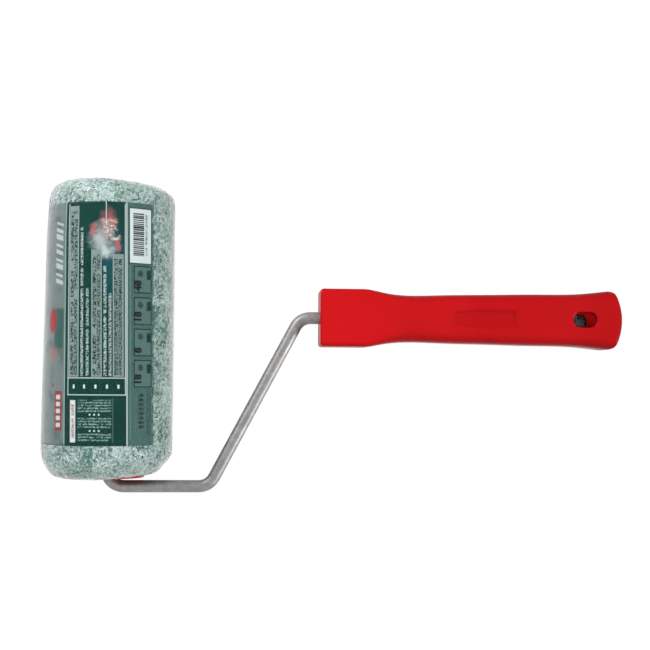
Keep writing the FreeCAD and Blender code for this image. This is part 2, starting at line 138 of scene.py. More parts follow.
def build_piece(
    name: str, points: Array, faces: list[Array], uv: Array | None = None, tones: Array | None = None
) -> bpy.types.Object:
    """Put computed points and faces into a new smooth-shaded object at the origin.

    Args:
        name: Object name.
        points: Points, three values each.
        faces: Arrays of point numbers, one array for each number of sides.
        uv: Flat coordinates of each point, if the finish follows the surface.
        tones: Colour of each point as four values, stored as the attribute "tone".

    Returns:
        The new object, linked to the scene.
    """
    mesh = bpy.data.meshes.new(name)
    loops = np.concatenate([f.ravel() for f in faces]).astype(np.int32)
    sides = np.concatenate([np.full(len(f), f.shape[1]) for f in faces]).astype(np.int32)
    starts = np.concatenate([[0], np.cumsum(sides)[:-1]]).astype(np.int32)
    mesh.vertices.add(len(points))
    mesh.vertices.foreach_set("co", points.astype(np.float32).ravel())
    mesh.loops.add(len(loops))
    mesh.loops.foreach_set("vertex_index", loops)
    mesh.polygons.add(len(sides))
    mesh.polygons.foreach_set("loop_start", starts)
    mesh.polygons.foreach_set("loop_total", sides)
    mesh.polygons.foreach_set("use_smooth", np.ones(len(sides), bool))
    if uv is not None:
        layer = mesh.uv_layers.new(name="wrap")
        layer.data.foreach_set("uv", uv[loops].astype(np.float32).ravel())
    if tones is not None:
        layer = mesh.color_attributes.new("tone", "FLOAT_COLOR", "POINT")
        layer.data.foreach_set("color", tones.astype(np.float32).ravel())
    mesh.update(calc_edges=True)
    mesh.validate()
    piece = bpy.data.objects.new(name, mesh)
    bpy.context.scene.collection.objects.link(piece)
    return piece


# ---------------------------------------------------------------- node building


class NodeSheet:
    """A node tree that is filled one node at a time."""

    def __init__(self, tree: bpy.types.NodeTree) -> None:
        """Keep the tree to fill."""
        self.tree = tree

    def add(self, kind: str, inputs: dict | None = None, **settings: object) -> bpy.types.Node:
        """Add one node, with its settings and its inputs.

        Args:
            kind: Blender's node type name.
            inputs: Input name or number to a value or to a socket to link from.
            settings: Node properties.

        Returns:
            The new node.
        """
        node = self.tree.nodes.new(kind)
        for key, value in settings.items():
            setattr(node, key, value)
        self.fill(node, inputs or {})
        return node

    def fill(self, node: bpy.types.Node, inputs: dict) -> None:
        """Feed several of a node's inputs, by name or number."""
        for key, value in inputs.items():
            self.feed(node.inputs[key], value)

    def feed(self, socket: bpy.types.NodeSocket, value: object) -> None:
        """Link a value into a socket if it is itself a socket, or else set it there.

        Args:
            socket: The socket to feed.
            value: A socket, or a value of the socket's own kind.
        """
        if isinstance(value, bpy.types.NodeSocket):
            self.tree.links.new(value, socket)
        else:
            socket.default_value = value

    def maths(self, operation: str, a: object, b: object = 0.0, c: object = 0.0) -> bpy.types.NodeSocket:
        """Add a Math node of one to three values or sockets, and return its result."""
        node = self.add("ShaderNodeMath", {0: a, 1: b, 2: c}, operation=operation)
        return node.outputs[0]

    def total(self, first: object, *others: object) -> object:
        """Add any number of values or sockets.

        Args:
            first: First value or socket.
            others: The rest.

        Returns:
            The sum's socket, or first where it stands alone.
        """
        for value in others:
            first = self.maths("ADD", first, value)
        return first

    def largest(self, first: object, *others: object) -> object:
        """The largest of any number of values or sockets.

        Args:
            first: First value or socket.
            others: The rest.

        Returns:
            The socket of the largest, or first where it stands alone.
        """
        for value in others:
            first = self.maths("MAXIMUM", first, value)
        return first

    def split(self, vector: object, kind: str = "XYZ") -> bpy.types.bpy_prop_collection:
        """The parts of a vector, or of a colour where kind is Color."""
        return self.add("ShaderNodeSeparate" + kind, {0: vector}).outputs

    def distance(self, place: object, axes: str, middle: tuple[float, ...]) -> bpy.types.NodeSocket:
        """How far a place is from a middle, measured along the named axes only.

        Args:
            place: The place.
            axes: Names of its parts, such as XZ.
            middle: The middle's value on each of them.

        Returns:
            The root of the summed squares.
        """
        parts = self.split(place)
        legs = [self.maths("SUBTRACT", parts[axis], at) for axis, at in zip(axes, middle)]
        return self.maths("SQRT", self.total(*(self.maths("MULTIPLY", leg, leg) for leg in legs)))

    def ramp(self, value: object, low: object, high: object, to: tuple = (0.0, 1.0)) -> bpy.types.NodeSocket:
        """Ease a value from the first of two results, at low, to the second, at high."""
        inputs = {"Value": value, "From Min": low, "From Max": high, "To Min": to[0], "To Max": to[1]}
        return self.add("ShaderNodeMapRange", inputs, interpolation_type="SMOOTHSTEP").outputs["Result"]

    def blend(self, factor: object, first: object, second: object) -> bpy.types.NodeSocket:
        """Mix two colours.

        Args:
            factor: Share of the second.
            first: Colour or socket.
            second: Colour or socket.

        Returns:
            The mixed colour's socket.
        """
        node = self.tree.nodes.new("ShaderNodeMix")
        node.data_type = "RGBA"
        for socket, value in ((node.inputs[0], factor), (node.inputs[6], first), (node.inputs[7], second)):
            if isinstance(value, tuple) and len(value) == 3:
                value = (*value, 1.0)
            self.feed(socket, value)
        return node.outputs[2]

    def noise(
        self, vector: object, scale: float, detail: float = 2.0, roughness: float = 0.5
    ) -> bpy.types.Node:
        """Add a Noise Texture node, with its features in a unit, its octaves and the finer ones' weight."""
        inputs = {"Vector": vector, "Scale": scale, "Detail": detail, "Roughness": roughness}
        return self.add("ShaderNodeTexNoise", inputs)

    def place(self) -> bpy.types.NodeSocket:
        """Object coordinates, which are places in the part's frame."""
        return self.add("ShaderNodeTexCoord").outputs["Object"]

    def bump(self, height: object, strength: float, distance: float) -> bpy.types.NodeSocket:
        """Turn a height, whose value of 1 is a distance in metres, into a normal."""
        inputs = {"Height": height, "Strength": strength, "Distance": distance}
        return self.add("ShaderNodeBump", inputs).outputs["Normal"]


def new_group(name: str, inputs: dict[str, float], outputs: dict[str, str]) -> tuple:
    """Start a shader node group.

    Args:
        name: Group name.
        inputs: Input name to its default; a default of None makes a vector input.
        outputs: Output name to its socket type.

    Returns:
        The group, a sheet to fill it, the inputs' sockets by name, and the node that takes the outputs.
    """
    group = bpy.data.node_groups.new(name, "ShaderNodeTree")
    for key, default in inputs.items():
        kind = "NodeSocketVector" if default is None else "NodeSocketFloat"
        socket = group.interface.new_socket(name=key, in_out="INPUT", socket_type=kind)
        if default is not None:
            socket.default_value = default
    for key, kind in outputs.items():
        group.interface.new_socket(name=key, in_out="OUTPUT", socket_type=kind)
    sheet = NodeSheet(group)
    taken = sheet.add("NodeGroupInput").outputs
    return group, sheet, {key: taken[key] for key in inputs}, sheet.add("NodeGroupOutput")


class Effects:
    """The node groups that several finishes share, each built once."""

    def __init__(self) -> None:
        """Build every group."""
        self.moulding = self.build_moulding()
        self.rubbed_metal = self.build_rubbed_metal()
        self.print_box = self.build_print_box()
        self.print_lines = self.build_print_lines()
        self.print_spot = self.build_print_spot()

    @staticmethod
    def build_moulding() -> bpy.types.NodeTree:
        """Moulded plastic: slow dips in the surface, a fine grain and the roughness that goes with them.

        Returns:
            The group, with outputs Height, from 0 to 1, and Roughness.
        """
        outputs = {"Height": "NodeSocketFloat", "Roughness": "NodeSocketFloat"}
        group, sheet, taken, out = new_group("Moulded surface", {"Vector": None, "Base": 0.35}, outputs)
        slow = sheet.noise(taken["Vector"], 55.0, 2.0).outputs["Fac"]
        fine = sheet.noise(taken["Vector"], 2600.0, 1.0).outputs["Fac"]
        height = sheet.maths("MULTIPLY_ADD", fine, 0.08, sheet.maths("MULTIPLY", slow, 0.92))
        swing = sheet.maths("MULTIPLY_ADD", slow, 0.16, -0.08)
        sheet.feed(out.inputs["Height"], height)
        sheet.feed(out.inputs["Roughness"], sheet.maths("ADD", taken["Base"], swing))
        return group

    @staticmethod
    def build_rubbed_metal() -> bpy.types.NodeTree:
        """Zinc plate: cloudy patches, fine pits and faint rubbed spots.

        Returns:
            The group, with outputs Cloud and Height, from 0 to 1, and Roughness.
        """
        outputs = {key: "NodeSocketFloat" for key in ("Cloud", "Height", "Roughness")}
        group, sheet, taken, out = new_group("Plated metal", {"Vector": None, "Base": 0.4}, outputs)
        cloud = sheet.noise(taken["Vector"], 240.0, 3.0, 0.6).outputs["Fac"]
        pits = sheet.noise(taken["Vector"], 1900.0, 2.0, 0.6).outputs["Fac"]
        rubbed = sheet.ramp(sheet.noise(taken["Vector"], 70.0, 2.0).outputs["Fac"], 0.52, 0.72)
        patches = sheet.maths("MULTIPLY", cloud, 0.65)
        sheet.feed(out.inputs["Cloud"], sheet.maths("MULTIPLY_ADD", pits, 0.35, patches))
        sheet.feed(out.inputs["Height"], pits)
        rough = sheet.maths("MULTIPLY_ADD", cloud, 0.16, sheet.maths("SUBTRACT", taken["Base"], 0.08))
        sheet.feed(out.inputs["Roughness"], sheet.maths("MULTIPLY_ADD", rubbed, -0.07, rough))
        return group

    @staticmethod
    def build_print_box() -> bpy.types.NodeTree:
        """A printed rectangle: 1 inside its four sides, eased to 0 over the softness.

        Returns:
            The group, with output Mask.
        """
        keys = {"U": 0.0, "V": 0.0, "U0": 0.0, "V0": 0.0, "U1": 1.0, "V1": 1.0, "Soft": 0.12}
        group, sheet, taken, out = new_group("Printed box", keys, {"Mask": "NodeSocketFloat"})
        inside = None
        for axis in "UV":
            for side, sign in (("0", 1.0), ("1", -1.0)):
                reach = sheet.maths("SUBTRACT", taken[axis], taken[axis + side])
                reach = sheet.maths("MULTIPLY", reach, sign)
                edge = sheet.maths("DIVIDE", reach, taken["Soft"])
                edge = sheet.add("ShaderNodeClamp", {"Value": sheet.maths("ADD", edge, 0.5)}).outputs[0]
                inside = edge if inside is None else sheet.maths("MULTIPLY", inside, edge)
        sheet.feed(out.inputs["Mask"], inside)
        return group

    @staticmethod
    def build_print_lines() -> bpy.types.NodeTree:
        """Rows of printed marks of uneven length, like small print seen from afar.

        A row is inked where the place across it, counted in row pitches, is within Fill of the row's middle.
        Along the row, noise cuts the ink into marks and thins their edges.

        Returns:
            The group, with output Mask.
        """
        keys = {"Along": 0.0, "Across": 0.0, "Pitch": 2.0, "Fill": 0.5, "Mark": 0.8, "Seed": 0.0}
        group, sheet, taken, out = new_group("Printed rows", keys, {"Mask": "NodeSocketFloat"})
        rows = sheet.maths("DIVIDE", taken["Across"], taken["Pitch"])
        number = sheet.maths("FLOOR", rows)
        away = sheet.maths("ABSOLUTE", sheet.maths("SUBTRACT", sheet.maths("FRACT", rows), 0.5))
        half = sheet.maths("MULTIPLY", taken["Fill"], 0.5)
        row = sheet.ramp(away, half, sheet.maths("MULTIPLY", half, 0.6))
        spot = sheet.add("ShaderNodeCombineXYZ", {
            0: sheet.maths("DIVIDE", taken["Along"], taken["Mark"]),
            1: sheet.maths("MULTIPLY", rows, 2.4),
            2: sheet.maths("MULTIPLY_ADD", number, 7.3, taken["Seed"]),
        }).outputs[0]
        marks = sheet.ramp(sheet.noise(spot, 1.0, 1.0).outputs["Fac"], 0.44, 0.54)
        gaps = sheet.add("ShaderNodeCombineXYZ", {
            0: sheet.maths("DIVIDE", taken["Along"], sheet.maths("MULTIPLY", taken["Mark"], 7.0)),
            2: sheet.maths("MULTIPLY_ADD", number, 3.1, taken["Seed"]),
        }).outputs[0]
        words = sheet.ramp(sheet.noise(gaps, 1.0, 0.0).outputs["Fac"], 0.27, 0.32)
        sheet.feed(out.inputs["Mask"], sheet.maths("MULTIPLY", row, sheet.maths("MULTIPLY", marks, words)))
        return group

    @staticmethod
    def build_print_spot() -> bpy.types.NodeTree:
        """A printed oval with a soft edge: 1 at its middle, 0 past its two half sizes.

        Returns:
            The group, with output Mask.
        """
        keys = {
            "U": 0.0, "V": 0.0, "Middle U": 0.0, "Middle V": 0.0, "Half U": 1.0, "Half V": 1.0, "Core": 0.5,
        }
        group, sheet, taken, out = new_group("Printed oval", keys, {"Mask": "NodeSocketFloat"})
        legs = []
        for axis in "UV":
            leg = sheet.maths("SUBTRACT", taken[axis], taken["Middle " + axis])
            leg = sheet.maths("DIVIDE", leg, taken["Half " + axis])
            legs.append(sheet.maths("MULTIPLY", leg, leg))
        reach = sheet.maths("SQRT", sheet.maths("ADD", *legs))
        sheet.feed(out.inputs["Mask"], sheet.ramp(reach, 1.0, taken["Core"]))
        return group


# ---------------------------------------------------------------- finishes


def new_material(name: str) -> tuple[bpy.types.Material, NodeSheet, bpy.types.Node]:
    """Start a material with an empty node tree and a Principled shader on its output.

    Args:
        name: Material name.

    Returns:
        The material, a sheet to fill it and the shader node.
    """
    material = bpy.data.materials.new(name)
    material.use_nodes = True
    material.node_tree.nodes.clear()
    sheet = NodeSheet(material.node_tree)
    shader = sheet.add("ShaderNodeBsdfPrincipled")
    sheet.add("ShaderNodeOutputMaterial", {"Surface": shader.outputs[0]})
    return material, sheet, shader


@dataclass(frozen=True)
class MouldedPlastic:
    """Injection-moulded plastic with a slight sheen."""

    name: str
    colour: Colour
    deep: Colour
    roughness: float = 0.3
    grain: float = 0.25
    specular: float = 0.5
    grain_height: float = 0.4 * MM

    def build(self, effects: Effects) -> bpy.types.Material:
        """Build the material.

        Args:
            effects: Shared node groups.

        Returns:
            The material.
        """
        material, sheet, shader = new_material(self.name)
        skin = sheet.add("ShaderNodeGroup", node_tree=effects.moulding)
        place = sheet.place()
        sheet.fill(skin, {"Vector": place, "Base": self.roughness})
        plain = self.colour == self.deep
        height = self.relief(sheet, place, skin.outputs["Height"])
        sheet.fill(shader, {
            "Base Color": (*self.colour, 1.0) if plain else self.shade(sheet, place),
            "Roughness": skin.outputs["Roughness"],
            "Normal": sheet.bump(height, self.grain, self.grain_height),
            "IOR": 1.4,
            "Specular IOR Level": self.specular,
        })
        return material

    def relief(self, sheet: NodeSheet, place: object, height: object) -> object:
        """The height that the surface's bump is made from: the skin's own, unless a kind adds to it."""
        return height

    def shade(self, sheet: NodeSheet, place: bpy.types.NodeSocket) -> bpy.types.NodeSocket:
        """The plastic's colour, which wanders slowly between its two tones.

        Args:
            sheet: The material's nodes.
            place: Object coordinates.

        Returns:
            The colour socket.
        """
        flow = sheet.ramp(sheet.noise(place, 18.0, 3.0).outputs["Fac"], 0.3, 0.75)
        return sheet.blend(flow, self.colour, self.deep)


@dataclass(frozen=True)
class GripPlastic(MouldedPlastic):
    """The handle's plastic, with painted shade: darker along the grip, at the butt, in the thumb recess and
    on its sides.
    """

    head_end: float = 0.02
    butt: float = 0.19
    middle: float = 0.014
    recess: tuple[float, float] = (0.0774, 0.1196)
    recess_half: float = 5.0 * MM
    recess_bow: float = 0.9 * MM
    grip_painted_shade: float = 0.13
    butt_painted_shade: float = 0.07
    recess_painted_shade: float = 0.06
    side_painted_shade: float = 0.3

    def shade(self, sheet: NodeSheet, place: bpy.types.NodeSocket) -> bpy.types.NodeSocket:
        """The colour, darkened by masks of painted shade: the recess is within its bowed sides, and a side
        faces level.

        Args:
            sheet: The material's nodes.
            place: Object coordinates.

        Returns:
            The colour socket.
        """
        colour = super().shade(sheet, place)
        parts = sheet.split(place)
        along = parts["X"]
        # Painted shade: darker from the head onto the grip, and darker again towards the butt.
        grip = sheet.ramp(along, self.head_end, self.head_end + 0.03, (0.0, self.grip_painted_shade))
        butt = sheet.ramp(along, self.butt - 0.07, self.butt, (0.0, self.butt_painted_shade))
        # Painted shade in the thumb recess, within its bowed sides.
        low, high = self.recess
        reach = sheet.maths("DIVIDE", sheet.maths("SUBTRACT", along, (low + high) / 2), (high - low) / 2)
        half = sheet.maths("MULTIPLY", reach, reach)
        half = sheet.maths("MULTIPLY_ADD", half, -self.recess_bow, self.recess_half)
        aside = sheet.maths("ABSOLUTE", sheet.maths("SUBTRACT", parts["Y"], self.middle))
        inside = sheet.maths("MAXIMUM", sheet.maths("ABSOLUTE", reach), sheet.maths("DIVIDE", aside, half))
        recess_shade = sheet.ramp(inside, 1.02, 0.93, (0.0, self.recess_painted_shade))
        # Painted shade on the sides, where the surface faces level.
        facing = sheet.add("ShaderNodeTexCoord").outputs["Normal"]
        upward = sheet.maths("ABSOLUTE", sheet.split(facing)["Z"])
        side = sheet.ramp(upward, 0.97, 0.3, (0.0, self.side_painted_shade))
        painted_shade = sheet.total(grip, butt, recess_shade, side)
        return sheet.blend(sheet.maths("SUBTRACT", 1.0, painted_shade), (0.0, 0.0, 0.0), colour)


@dataclass(frozen=True)
class HubPlastic(MouldedPlastic):
    """The hubs' plastic, with two fine moulded rings and a gate mark about the roller's axis."""

    axis_x: float = 0.0
    axis_z: float = 0.042
    rings: tuple[float, ...] = (17.2 * MM, 9.0 * MM, 0.0)

    def relief(self, sheet: NodeSheet, place: object, height: object) -> object:
        """Add each ring to the height, where the distance from the axis is close to the ring's radius.

        Args:
            sheet: The material's nodes.
            place: Object coordinates.
            height: The skin's own height.

        Returns:
            The height with the rings.
        """
        radius = sheet.distance(place, "XZ", (self.axis_x, self.axis_z))
        for ring in self.rings:
            away = sheet.maths("ABSOLUTE", sheet.maths("SUBTRACT", radius, ring))
            height = sheet.maths("ADD", height, sheet.ramp(away, 0.9 * MM, 0.4 * MM, (0.0, 4.0)))
        return height


@dataclass(frozen=True)
class PlatedSteel:
    """Zinc-plated or bare drawn steel."""

    name: str
    bright: Colour
    dull: Colour
    roughness: float = 0.38
    relief: float = 0.2
    metallic: float = 1.0

    def build(self, effects: Effects) -> bpy.types.Material:
        """Build the material.

        Args:
            effects: Shared node groups.

        Returns:
            The material.
        """
        material, sheet, shader = new_material(self.name)
        plate = sheet.add("ShaderNodeGroup", node_tree=effects.rubbed_metal)
        sheet.fill(plate, {"Vector": sheet.place(), "Base": self.roughness})
        cloud = sheet.ramp(plate.outputs["Cloud"], 0.38, 0.64)
        sheet.fill(shader, {
            "Base Color": sheet.blend(cloud, self.dull, self.bright),
            "Roughness": plate.outputs["Roughness"],
            "Normal": sheet.bump(plate.outputs["Height"], self.relief, 0.1 * MM),
            "Metallic": self.metallic,
        })
        return material


@dataclass(frozen=True)
class PileThread:
    """Fluffy synthetic thread whose colour is stored on each lock."""

    name: str = "pile_thread"

    def build(self) -> bpy.types.Material:
        """Build the material: the stored tone, with fine streaks of light and dark fibre."""
        material, sheet, shader = new_material(self.name)
        tone = sheet.add("ShaderNodeAttribute", attribute_name="tone").outputs["Color"]
        place = sheet.place()
        fibre = sheet.noise(place, 1700.0, 2.0, 0.7).outputs["Fac"]
        dark = sheet.blend(1.0, tone, (0.62, 0.66, 0.65))
        dark.node.blend_type = "MULTIPLY"
        sheet.fill(shader, {
            "Base Color": sheet.blend(sheet.ramp(fibre, 0.35, 0.62), dark, tone),
            "Roughness": 0.82,
            "Sheen Weight": 0.25,
            "Sheen Roughness": 0.4,
            "Normal": sheet.bump(fibre, 0.6, 0.5 * MM),
        })
        return material


@dataclass(frozen=True)
class WovenCloth:
    """The pile's backing, seen only at the sleeve's ends."""

    name: str = "backing_weave"
    colour: Colour = (0.5, 0.56, 0.53)

    def build(self) -> bpy.types.Material:
        """Build the material: two crossed sets of threads."""
        material, sheet, shader = new_material(self.name)
        place = sheet.place()
        threads = {"Vector": place, "Scale": 260.0, "Distortion": 1.0}
        warp = sheet.add("ShaderNodeTexWave", threads)
        weft = sheet.add("ShaderNodeTexWave", threads, bands_direction="Z")
        weave = sheet.maths("MULTIPLY", warp.outputs["Fac"], weft.outputs["Fac"])
        dark = tuple(0.6 * c for c in self.colour)
        sheet.fill(shader, {
            "Base Color": sheet.blend(weave, dark, self.colour),
            "Roughness": 0.9,
            "Normal": sheet.bump(weave, 0.6, 0.3 * MM),
        })
        return material


@dataclass(frozen=True)
class ClearFilm:
    """Thin clear film that glints where it creases and lets the lamps through."""

    name: str = "clear_film"
    tint: Colour = (0.93, 0.97, 0.96)
    milk: Colour = (0.84, 0.85, 0.85)
    roughness: float = 0.06
    ior: float = 1.16
    edge_haze: float = 0.10
    end_haze: float = 0.03

    def build(self) -> bpy.types.Material:
        """Build the material: rippled clear plastic, milky where it is seen aslant, see-through to lamps."""
        material, sheet, shader = new_material(self.name)
        place = sheet.place()
        tone = sheet.add("ShaderNodeAttribute", attribute_name="tone").outputs["Color"]
        parts = sheet.split(tone, "Color")
        creased, loose = parts["Red"], parts["Blue"]
        slack = sheet.maths("MULTIPLY_ADD", loose, 0.85, 0.15)
        ripple = sheet.maths("MULTIPLY", sheet.noise(place, 75.0, 2.0, 0.5).outputs["Fac"], slack)
        crinkle = sheet.maths("MULTIPLY", sheet.noise(place, 330.0, 3.0, 0.6).outputs["Fac"], creased)
        height = sheet.maths("MULTIPLY_ADD", crinkle, 0.8, ripple)
        sheet.fill(shader, {
            "Base Color": (*self.tint, 1.0),
            "Roughness": self.roughness,
            "IOR": self.ior,
            "Transmission Weight": 1.0,
            "Sheen Weight": 0.3,
            "Sheen Roughness": 0.35,
            "Sheen Tint": (1.0, 0.90, 0.92, 1.0),
            "Normal": sheet.bump(height, 0.5, 1.6 * MM),
        })
        facing = sheet.add("ShaderNodeLayerWeight").outputs["Facing"]
        aslant = sheet.ramp(facing, 0.4, 1.0, (0.0, self.edge_haze))
        haze = sheet.maths("MULTIPLY_ADD", loose, self.end_haze, aslant)
        milk = sheet.add("ShaderNodeBsdfDiffuse", {"Color": (*self.milk, 1.0)})
        seen = sheet.add("ShaderNodeMixShader", {0: haze, 1: shader.outputs[0], 2: milk.outputs[0]})
        clear = sheet.add("ShaderNodeBsdfTransparent", {"Color": (*self.tint, 1.0)})
        path = sheet.add("ShaderNodeLightPath")
        lamps = sheet.maths("MAXIMUM", path.outputs["Is Shadow Ray"], path.outputs["Is Diffuse Ray"])
        mix = sheet.add("ShaderNodeMixShader", {0: lamps, 1: seen.outputs[0], 2: clear.outputs[0]})
        output = next(n for n in sheet.tree.nodes if n.type == "OUTPUT_MATERIAL")
        sheet.feed(output.inputs["Surface"], mix.outputs[0])
        return material


class Ink(Enum):
    """Colours printed on the wrap."""

    GREEN = (0.001, 0.050, 0.042)
    SEA = (0.006, 0.085, 0.110)
    FOREST = (0.001, 0.034, 0.027)
    MIST = (0.30, 0.345, 0.335)
    GREY = (0.235, 0.262, 0.272)
    WHITE = (0.88, 0.90, 0.90)
    PALE_GREEN = (0.33, 0.46, 0.42)
    BOTTLE = (0.050, 0.125, 0.112)
    CLOUDY = (0.105, 0.215, 0.205)
    RED = (0.42, 0.022, 0.028)
    ROSE = (0.56, 0.16, 0.17)
    BLACK = (0.008, 0.014, 0.014)


class PrintSheet:
    """The wrap's printing, laid on in order, with places in millimetres from its lower left corner."""

    def __init__(self, sheet: NodeSheet, effects: Effects, u: object, v: object) -> None:
        """Keep the sheet, the groups and the two place sockets, and start with plain green."""
        self.sheet, self.effects, self.u, self.v = sheet, effects, u, v
        self.colour: object = Ink.GREEN.value

    def lay(self, mask: object, ink: Ink, strength: float = 1.0) -> None:
        """Print an ink where the mask is, over what is there.

        Args:
            mask: Where to print.
            ink: The ink.
            strength: How much of what is there it hides.
        """
        if strength < 1.0:
            mask = self.sheet.maths("MULTIPLY", mask, strength)
        self.colour = self.sheet.blend(mask, self.colour, ink.value)

    def cloud(self, scale: float, detail: float, roughness: float = 0.5) -> bpy.types.Node:
        """Noise over the flat sheet, with features in a millimetre given by the scale."""
        flat = self.sheet.add("ShaderNodeCombineXYZ", {0: self.u, 1: self.v}).outputs[0]
        return self.sheet.noise(flat, scale, detail, roughness)

    def bent(self, u: object, v: object) -> "PrintSheet":
        """A sheet over this one, with other places and the same colour so far.

        Args:
            u: The new sheet's first place socket.
            v: Its second.

        Returns:
            The new sheet.
        """
        other = PrintSheet(self.sheet, self.effects, u, v)
        other.colour = self.colour
        return other

    def group(self, tree: bpy.types.NodeTree, **inputs: object) -> bpy.types.NodeSocket:
        """Add a group with its inputs, and take its mask.

        Args:
            tree: The group.
            inputs: Values or sockets by input name, with an underscore for each space.

        Returns:
            The mask.
        """
        node = self.sheet.add("ShaderNodeGroup", node_tree=tree)
        for key, value in inputs.items():
            self.sheet.feed(node.inputs[key.replace("_", " ")], value)
        return node.outputs["Mask"]

    def box(self, u0: float, v0: float, u1: float, v1: float, soft: float = 0.12) -> bpy.types.NodeSocket:
        """The mask of a rectangle from (u0, v0) to (u1, v1)."""
        return self.group(self.effects.print_box, U=self.u, V=self.v, U0=u0, V0=v0, U1=u1, V1=v1, Soft=soft)

    def outline(self, u0: float, v0: float, u1: float, v1: float, width: float) -> bpy.types.NodeSocket:
        """The mask of a rectangle's border, of a width inwards."""
        inner = self.box(u0 + width, v0 + width, u1 - width, v1 - width)
        return self.sheet.maths("SUBTRACT", self.box(u0, v0, u1, v1), inner)

    def rows(
        self, corners: tuple, pitch: float, upright: bool = True, fill: float = 0.55, mark: float = 0.8
    ) -> bpy.types.NodeSocket:
        """The mask of small print inside a rectangle.

        Args:
            corners: The rectangle's u0, v0, u1 and v1.
            pitch: Distance between rows.
            upright: Whether the rows run along the roller.
            fill: Inked share of a row's pitch.
            mark: Length of a mark.

        Returns:
            The mask.
        """
        along, across = (self.v, self.u) if upright else (self.u, self.v)
        across = self.sheet.maths("SUBTRACT", across, corners[0] if upright else corners[1])
        rows = self.group(
            self.effects.print_lines, Along=along, Across=across, Pitch=pitch, Fill=fill, Mark=mark,
            Seed=corners[0] + corners[1],
        )
        return self.sheet.maths("MULTIPLY", rows, self.box(*corners))

    def spot(
        self, u: float, v: float, half_u: float, half_v: float, core: float = 0.4
    ) -> bpy.types.NodeSocket:
        """The mask of a soft oval about (u, v)."""
        return self.group(
            self.effects.print_spot, U=self.u, V=self.v, Middle_U=u, Middle_V=v, Half_U=half_u,
            Half_V=half_v, Core=core,
        )


